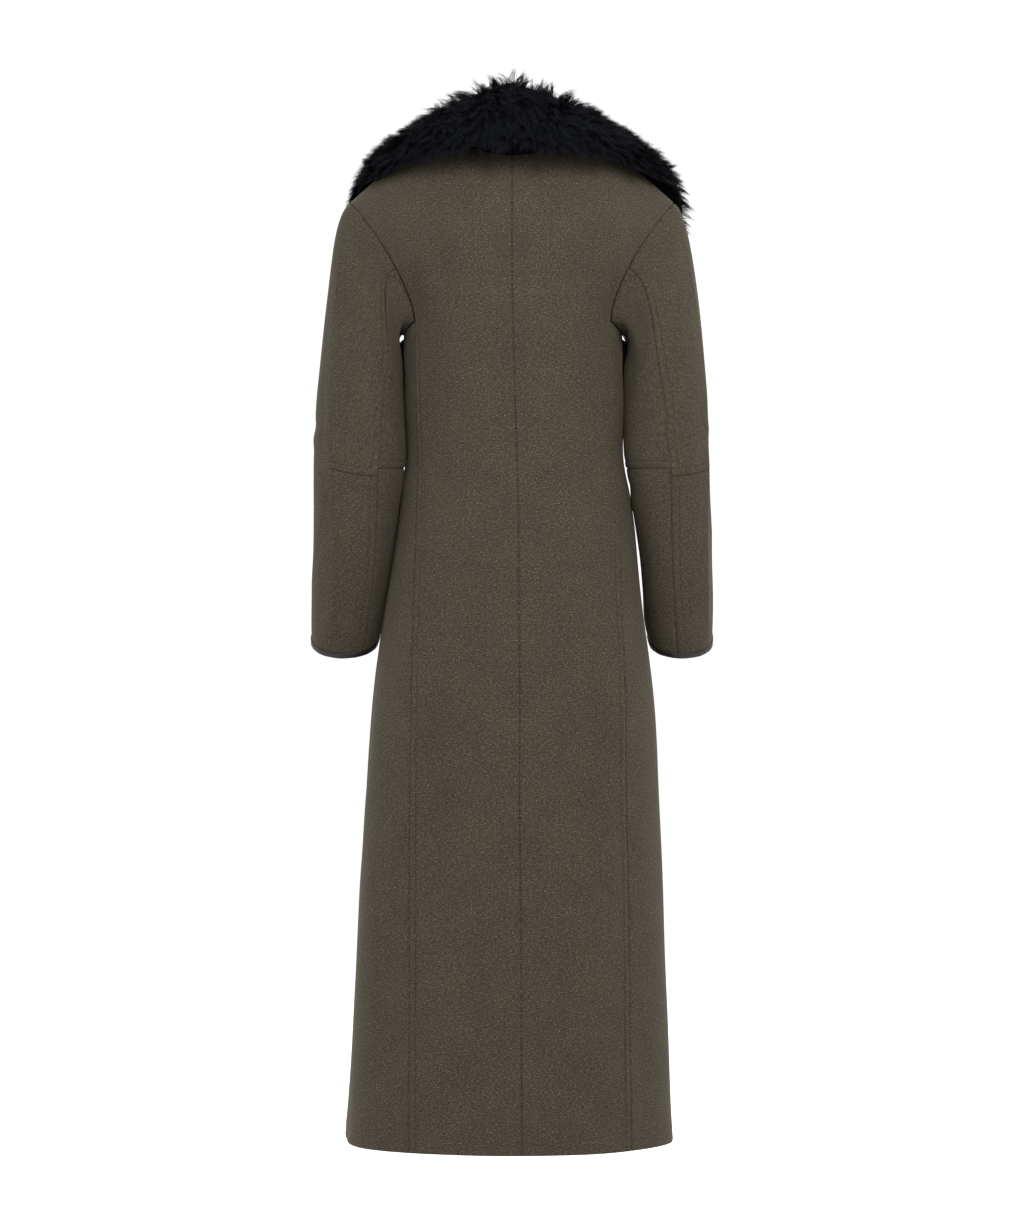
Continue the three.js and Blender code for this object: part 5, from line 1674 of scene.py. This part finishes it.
@dataclass
class ShearlingCollar:
    """The wide collar: a hide with dense undercoat, under long wavy locks of pile."""

    form: CollarForm
    seed: int = 29
    undercoat: float = 0.42
    inset: float = 0.955
    sewn_in: float = 3.5
    hide_share: float = 0.7
    edge_undercoat: float = 0.35
    roughness: float = 1.3
    clear: float = 0.3
    last_column: float = 0.985
    pile: PileLocks = PileLocks()
    locks: int = 2900
    hairs: int = 17
    knots: int = 4
    turns: Tuple[Tuple[float, float, float, float, float], ...] = (
        (0.62, 0.071, 0.022, 0.064, 0.4),
        (0.5, -0.043, 0.058, 0.097, 2.1),
        (0.38, 0.118, -0.084, -0.052, 4.4),
    )

    def grid(self, side: int, columns: Array, rows: Array) -> Tuple[Array, Array]:
        """Skin points and the way out at each."""
        points = self.form.skin(side, columns, rows)
        n = unit(np.cross(np.gradient(points, axis=1), np.gradient(points, axis=0))) * side
        n[:, 0, 0] = 0.0
        return points, unit(n)

    def build_hide(self, hand: Hand, material: Material) -> Piece:
        """Makes the hide with its undercoat, a little smaller than the fur's reach."""
        form = self.form
        columns = np.linspace(0.0, form.columns * self.last_column, 70)
        rows = np.linspace(0.0, form.rows * self.inset, 56)
        points, n = self.grid(hand.value, columns, rows)
        points[0, :, 2] -= self.sewn_in
        points[:, 0, 0] = -0.1 * hand.value
        draw = np.random.default_rng(self.seed + hand.value)
        rough = draw.normal(size=points.shape[:2])
        rough = (rough + np.roll(rough, 1, 0) + np.roll(rough, 1, 1) + np.roll(rough, (1, 1), (0, 1))) / 4.0
        i, j = np.meshgrid(columns, rows)
        edge = smooth((1.0 - j / rows[-1]) / 0.06) * smooth((1.0 - i / columns[-1]) / 0.05)
        deep = form.depth(i, j) * self.undercoat * lerp(self.edge_undercoat, 1.0, edge)
        thick = form.hide * self.hide_share + deep + rough * self.roughness
        outer = points + n * (thick + self.clear)[..., None]
        inner = points + n * self.clear
        uv = np.stack([i * 18.0, j * 15.0], axis=-1) * MM
        cells = np.ones((len(rows) - 1, len(columns) - 1), bool)
        made = MeshMaker.wall(f"shearling_hide_{hand.word}", outer, inner, cells, uv)
        dress(made, material, "shearling", f"collar_{hand.word}")
        cut = ClothGrid(points, n, cells).cut()
        log.info("%s cut %.3f x %.3f m, %.4f m2", made.name, cut.width, cut.length, cut.area)
        return made

    def roots(self, side: int, draw: np.random.Generator, count: int) -> Dict[str, Array]:
        """Scatters places evenly over the hide.

        Args:
            side: 1 on the wearer's left and -1 on the right.
            draw: the seeded source of chance.
            count: how many places.

        Returns:
            Their columns, rows, skin points, ways out, ways down and depths of fur.
        """
        form = self.form
        columns = np.linspace(0.0, form.columns * self.last_column, 90)
        rows = np.linspace(0.15, form.rows * self.inset, 70)
        points, n = self.grid(side, columns, rows)
        a, b = np.diff(points, axis=1)[:-1], np.diff(points, axis=0)[:, :-1]
        area = np.linalg.norm(np.cross(a, b), axis=-1).ravel()
        cell = draw.choice(len(area), size=count, p=area / area.sum())
        r, c = np.divmod(cell, len(columns) - 1)
        u, v = draw.uniform(size=count), draw.uniform(size=count)
        weights = ((1 - u) * (1 - v), u * (1 - v), (1 - u) * v, u * v)
        corners = ((r, c), (r, c + 1), (r + 1, c), (r + 1, c + 1))

        def mixed(values: Array) -> Array:
            """Values of the grid's corners, mixed at each place."""
            return sum(w[:, None] * values[at] for w, at in zip(weights, corners))

        down = unit(np.gradient(points, axis=0))
        i = columns[c] + u * (columns[1] - columns[0])
        j = rows[r] + v * (rows[1] - rows[0])
        along = unit(np.gradient(points, axis=1))
        return {
            "i": i, "j": j, "p": mixed(points), "n": unit(mixed(n)), "down": unit(mixed(down)),
            "along": unit(mixed(along)), "deep": form.depth(i, j),
        }

    def swirl(self, p: Array) -> Array:
        """How far the locks turn aside at places on the hide, in radians, evenly across the centre line."""
        return sum(a * np.sin(p @ np.array([x, y, z]) + start) for a, x, y, z, start in self.turns)

    def hair_paths(self, side: int, draw: np.random.Generator, locks: int) -> Tuple[Array, ...]:
        """Grows the hairs of many locks.

        Args:
            side: 1 on the wearer's left and -1 on the right.
            draw: the seeded source of chance.
            locks: how many locks.

        Returns:
            Paths by hair and place along it, the way out at each, the hairs' widths, and a tone from 0 to 1.
        """
        form, pile = self.form, self.pile
        lock = self.roots(side, draw, locks)
        edge = smooth((lock["j"] / form.rows - pile.edge_zone[0]) / pile.edge_zone[1])
        front = smooth((lock["i"] / form.columns - pile.front_zone[0]) / pile.front_zone[1])
        stand = 1.0 - smooth(lock["j"] / form.rows / pile.stand_zone)
        turn = self.swirl(lock["p"]) + draw.normal(size=locks) * lerp(*pile.turn, stand)
        turn = turn * lerp(1.0, pile.edge_turn, edge)
        lean = lock["down"] * np.cos(turn)[:, None] + lock["along"] * (side * np.sin(turn))[:, None]
        lean = lean + lock["down"] * (pile.edge_pull * edge)[:, None]
        lean = lean + lock["along"] * (pile.front_pull * front)[:, None]
        flat = unit(lean - lock["n"] * np.sum(lean * lock["n"], axis=-1, keepdims=True))
        beside = unit(np.cross(flat, lock["n"]))
        length = draw.uniform(*pile.length, locks) * lerp(1.0, pile.edge_length, np.maximum(edge, front))
        length = length * lerp(1.0, pile.stand_length, stand)
        tall = lock["deep"] * (1.0 - self.undercoat) * draw.uniform(*pile.height, locks)
        tall = tall * lerp(1.0, pile.edge_height, edge)
        base = form.hide * self.hide_share + lock["deep"] * self.undercoat * (1.0 - 0.5 * edge) - pile.sunk
        t = np.linspace(0.0, 1.0, self.knots)
        phase = pile.curl_turn * self.swirl(lock["p"] * pile.curl_scale) + draw.normal(size=locks) * 0.7
        beats = draw.uniform(*pile.curls, locks)
        swing = draw.uniform(*pile.swing, locks)
        wave = swing[:, None] * t * np.sin(2.0 * math.pi * beats[:, None] * t + phase[:, None])
        rise = tall[:, None] * (pile.rise[0] * t + pile.rise[1] * t**2)
        run = length[:, None] * (pile.run[0] * t + pile.run[1] * t**2)
        spine = (lock["p"] + lock["n"] * base[:, None])[:, None] + lock["n"][:, None] * rise[..., None]
        spine = spine + flat[:, None] * run[..., None] + beside[:, None] * wave[..., None]
        spread = draw.normal(size=(locks, self.hairs, 2)) * draw.uniform(*pile.spread, (locks, 1, 1))
        gather = lerp(1.0, draw.uniform(*pile.tip_spread, (locks, 1)), t**0.8)
        offset = spread[..., :1] * beside[:, None] + spread[..., 1:] * flat[:, None]
        paths = spine[:, None] + offset[:, :, None] * gather[:, None, :, None]
        trim = draw.uniform(*pile.trim, (locks, self.hairs, 1, 1))
        paths = paths[:, :, :1] + (paths - paths[:, :, :1]) * trim
        stray = (pile.stray * t**1.3)[None, None, :, None]
        paths = paths + draw.normal(size=(locks, self.hairs, 1, 3)) * stray
        tone = draw.uniform(0.0, 1.0, (locks, 1)) + draw.normal(size=(locks, self.hairs)) * pile.tone_spread
        width = draw.uniform(*pile.width, (locks, self.hairs))
        out = np.repeat(lock["n"], self.hairs, axis=0)
        return paths.reshape(-1, self.knots, 3), out, width.ravel(), np.clip(tone, 0.0, 1.0).ravel()

    def build_pile(self, hand: Hand, part: int, material: Material) -> Piece:
        """Makes one layer of the pile on one half, as thin tapering hairs.

        Args:
            hand: the half.
            part: 1 or 2, the layer.
            material: the fur's finish.

        Returns:
            The layer's object.
        """
        draw = np.random.default_rng(self.seed * 7 + part * 3 + hand.value)
        paths, out, width, tone = self.hair_paths(hand.value, draw, self.locks // 2)
        count, long = paths.shape[:2]
        forward = unit(np.gradient(paths, axis=1))
        beside = np.cross(forward, unit(out + draw.normal(size=(count, 3)) * 0.35)[:, None])
        taper = np.linspace(1.0, 0.45, long - 1)
        half = unit(beside)[:, :-1] * (width[:, None] * taper)[..., None] / 2.0
        pairs = np.stack([paths[:, :-1] - half, paths[:, :-1] + half], axis=2)
        points = np.concatenate([pairs.reshape(count, -1, 3), paths[:, -1:]], axis=1)
        each = points.shape[1]
        one = []
        for k in range(0, each - 3, 2):
            one += [(k, k + 1, k + 3), (k, k + 3, k + 2)]
        one.append((each - 3, each - 2, each - 1))
        faces = (np.array(one)[None] + (np.arange(count) * each)[:, None, None]).reshape(-1, 3)
        t = np.append(np.repeat(np.linspace(0.0, 1.0, long)[:-1], 2), 1.0)
        uv = np.stack([np.repeat(tone, each), np.tile(t, count)], axis=-1)
        made = MeshMaker.piece(f"shearling_pile_{hand.word}_{part}", points.reshape(-1, 3), faces, uv)
        return dress(made, material, "shearling")


@dataclass
class Buttons:
    """Four horn buttons sewn down the lap, each with four holes and its thread."""

    body: BodyForm
    radius: float = 14.0
    thickness: float = 4.6
    column: float = 12.0
    top_row: float = 18.0
    rows_apart: float = 3.0
    count: int = 4
    rim_round: float = 1.6
    rim_drop: float = 1.3
    dish: float = 1.6
    dish_edge: float = 8.6
    dish_slope: float = 2.2
    hole_out: float = 2.9
    hole_size: float = 0.95
    holes: int = 4
    thread_out: float = 2.05

    def seat(self, row: float) -> Tuple[Array, Array]:
        """Where a button sits and the way out there."""
        surface = self.body.front(Hand.RIGHT.value)
        i, j = np.array([self.column]), np.array([row])
        centre, n = surface(i, j)[0], self.body.way_out(surface, i, j)[0]
        clear = self.body.seam
        for di, dj in ((1, 0), (-1, 0), (0, 1), (0, -1)):
            away = surface(i + di, j + dj)[0] - centre
            clear = max(clear, self.body.seam + self.radius * float(away @ n) / float(np.linalg.norm(away)))
        return centre + n * clear, n

    def height(self, r: Array, angle: Array) -> Array:
        """The button's face: a round rim, a dish and four small holes."""
        past_rim = smooth((r - self.radius + self.rim_round) / self.rim_round)
        rim = self.thickness - self.rim_drop * past_rim**2
        face = rim - self.dish * (1.0 - smooth((r - self.dish_edge) / self.dish_slope))
        for k in range(self.holes):
            turn = (k + 0.5) * 2.0 * math.pi / self.holes
            beside = r * np.cos(angle) - self.hole_out * math.cos(turn)
            above = r * np.sin(angle) - self.hole_out * math.sin(turn)
            face = face - self.dish * bell(np.hypot(beside, above) / self.hole_size) ** 2
        return face

    def build(self, horn: Material, thread: Material) -> List[Piece]:
        """Makes the buttons and their threads."""
        made = []
        for k in range(self.count):
            centre, n = self.seat(self.top_row - self.rows_apart * k)
            beside = unit(np.cross(np.array([0.0, 0.0, 1.0]), n))
            up = np.cross(n, beside)
            r = np.concatenate([np.linspace(0.02, 12.2, 34), self.radius - np.array([1.2, 0.7, 0.3, 0.05])])
            angle = np.linspace(0.0, 2.0 * math.pi, 64, endpoint=False)
            rr, aa = np.meshgrid(r, angle)
            top = self.height(rr, aa)
            side_r = np.array([self.radius, self.radius, self.radius - 0.4, self.radius - 1.3, 4.0, 0.02])
            side_h = np.array([self.thickness - 1.6, 1.4, 0.5, 0.05, 0.0, 0.0])
            rr = np.concatenate([rr, np.tile(side_r, (len(angle), 1))], axis=1)
            hh = np.concatenate([top, np.tile(side_h, (len(angle), 1))], axis=1)
            aa = np.tile(angle[:, None], (1, rr.shape[1]))
            flat = rr[..., None] * (np.cos(aa)[..., None] * beside + np.sin(aa)[..., None] * up)
            points = centre + flat + hh[..., None] * n
            place = np.arange(aa.size).reshape(aa.shape)
            after = np.roll(place, -1, axis=0)
            quads = np.stack([place[:, :-1], after[:, :-1], after[:, 1:], place[:, 1:]], axis=-1)
            quads = quads.reshape(-1, 4)
            uv = np.stack([rr * np.cos(aa), rr * np.sin(aa)], axis=-1).reshape(-1, 2) * MM
            button = MeshMaker.piece(f"horn_button_{k + 1}", points.reshape(-1, 3), quads[:, ::-1], uv)
            made.append(dress(button, horn, "button", f"button_{k + 1}"))
            sewing = Stitching(pitch=1.0, length=5.4, radius=0.42)
            lines = []
            for offset in (-self.thread_out, self.thread_out):
                start = centre + beside * offset + n * (self.thickness - self.rim_drop)
                path = [start + up * along for along in (-4.0, 0.0, 3.2)]
                lines.append((np.array(path), np.tile(n, (3, 1))))
            made.append(sewing.build(f"button_thread_{k + 1}", lines, thread))
        return made


@dataclass(frozen=True)
class Lamp:
    """One large soft light: its place, what it looks at, its size and its watts."""

    name: str
    place: Colour
    aim: Colour
    size: float
    watts: float

    def build(self) -> None:
        """Adds the light."""
        data = bpy.data.lights.new(self.name, "AREA")
        data.shape = "DISK"
        data.size = self.size
        data.energy = self.watts
        made = bpy.data.objects.new(self.name, data)
        made.location = self.place
        way = np.array(self.aim) - np.array(self.place)
        yaw = math.atan2(way[0], -way[1])
        pitch = math.atan2(math.hypot(way[0], way[1]), -way[2])
        made.rotation_euler = (pitch, 0.0, yaw + math.pi)
        bpy.context.scene.collection.objects.link(made)


SHOULDERS = (0.0, 0.0, -0.25)
WAIST = (0.0, 0.0, -0.7)
LAMPS = (
    Lamp("key_above_right", (-0.6, 2.0, 1.3), SHOULDERS, 1.3, 42.0),
    Lamp("fill_left", (2.2, 2.4, 0.9), SHOULDERS, 2.2, 12.0),
    Lamp("edge_right", (-2.2, -0.9, 0.6), SHOULDERS, 1.0, 12.0),
    Lamp("edge_left", (2.2, -0.9, 0.6), SHOULDERS, 1.0, 9.0),
    Lamp("front_soft", (0.6, -3.2, 1.0), WAIST, 2.4, 30.0),
)


@dataclass
class Studio:
    """The camera at the photograph's angle, soft lights and a pale floor."""

    distance: float = 4.5
    eye_z: float = -0.624
    photo_rows: int = 1231
    mm_for_a_pixel: float = 1.33
    sensor: float = 36.0
    floor_z: float = -1.5
    floor_reach: float = 60.0
    exposure: float = 0.7
    room: float = 0.66

    def camera(self) -> None:
        """Places the camera behind the coat, level, looking along -Y."""
        data = bpy.data.cameras.new("photograph_view")
        data.sensor_width = self.sensor
        data.lens = self.sensor * self.distance / (self.photo_rows * self.mm_for_a_pixel * MM)
        data.clip_end = 100.0
        made = bpy.data.objects.new("photograph_view", data)
        made.location = (0.0, self.distance, self.eye_z)
        made.rotation_euler = (math.radians(90.0), 0.0, math.radians(180.0))
        bpy.context.scene.collection.objects.link(made)
        bpy.context.scene.camera = made

    def build(self) -> None:
        """Makes the camera, lights, world and floor."""
        scene = bpy.context.scene
        scene.view_settings.view_transform = "Standard"
        scene.view_settings.exposure = self.exposure
        self.camera()
        world = bpy.data.worlds.new("white_room")
        world.use_nodes = True
        background = world.node_tree.nodes["Background"]
        background.inputs["Color"].default_value = (1.0, 1.0, 1.0, 1.0)
        background.inputs["Strength"].default_value = self.room
        scene.world = world
        for lamp in LAMPS:
            lamp.build()
        corners = np.array([(-1, -1), (1, -1), (1, 1), (-1, 1)]) * self.floor_reach / MM
        points = np.column_stack([corners, np.full(4, self.floor_z / MM)])
        floor = MeshMaker.piece("pale_floor", points, np.array([(0, 1, 2, 3)]))
        bench = NodeBench("pale_paper")
        place = bench.place(False, (1.0, 1.0, 1.0))
        shade = bench.noise(place, 3.0, 2.0)
        colour = bench.ramp(shade, [(0.0, (0.93, 0.93, 0.93)), (1.0, (0.95, 0.95, 0.95))])
        floor.data.materials.append(bench.finish(colour, bench.bump(shade, 0.05, 0.0005), Roughness=0.9))


def main() -> None:
    """Builds the coat piece by piece around the frame."""
    logging.basicConfig(level=logging.INFO, format="%(name)s: %(message)s")
    Studio().build()
    finishes = Finishes()
    body = BodyForm()
    sleeve = SleeveForm(body)
    panels = WoolPanels(body, sleeve)
    for made in panels.build_body(finishes.wool) + panels.build_sleeves(finishes.wool):
        log.info("%s with %d faces", made.name, len(made.data.polygons))
    sewn = Stitching().build("topstitching", panels.lines, finishes.thread)
    log.info("%s with %d faces", sewn.name, len(sewn.data.polygons))
    binding = CuffBinding(sleeve)
    collar = ShearlingCollar(CollarForm(body))
    for hand in Hand:
        cuff = binding.build(hand, body.cloth, finishes.leather)
        hide = collar.build_hide(hand, finishes.undercoat)
        log.info("%s and %s", cuff.name, hide.name)
        for part in (1, 2):
            pile = collar.build_pile(hand, part, finishes.fur)
            log.info("%s with %d faces", pile.name, len(pile.data.polygons))
    for made in Buttons(body).build(finishes.horn, finishes.thread):
        log.info("%s with %d faces", made.name, len(made.data.polygons))


if __name__ == "__main__":
    main()
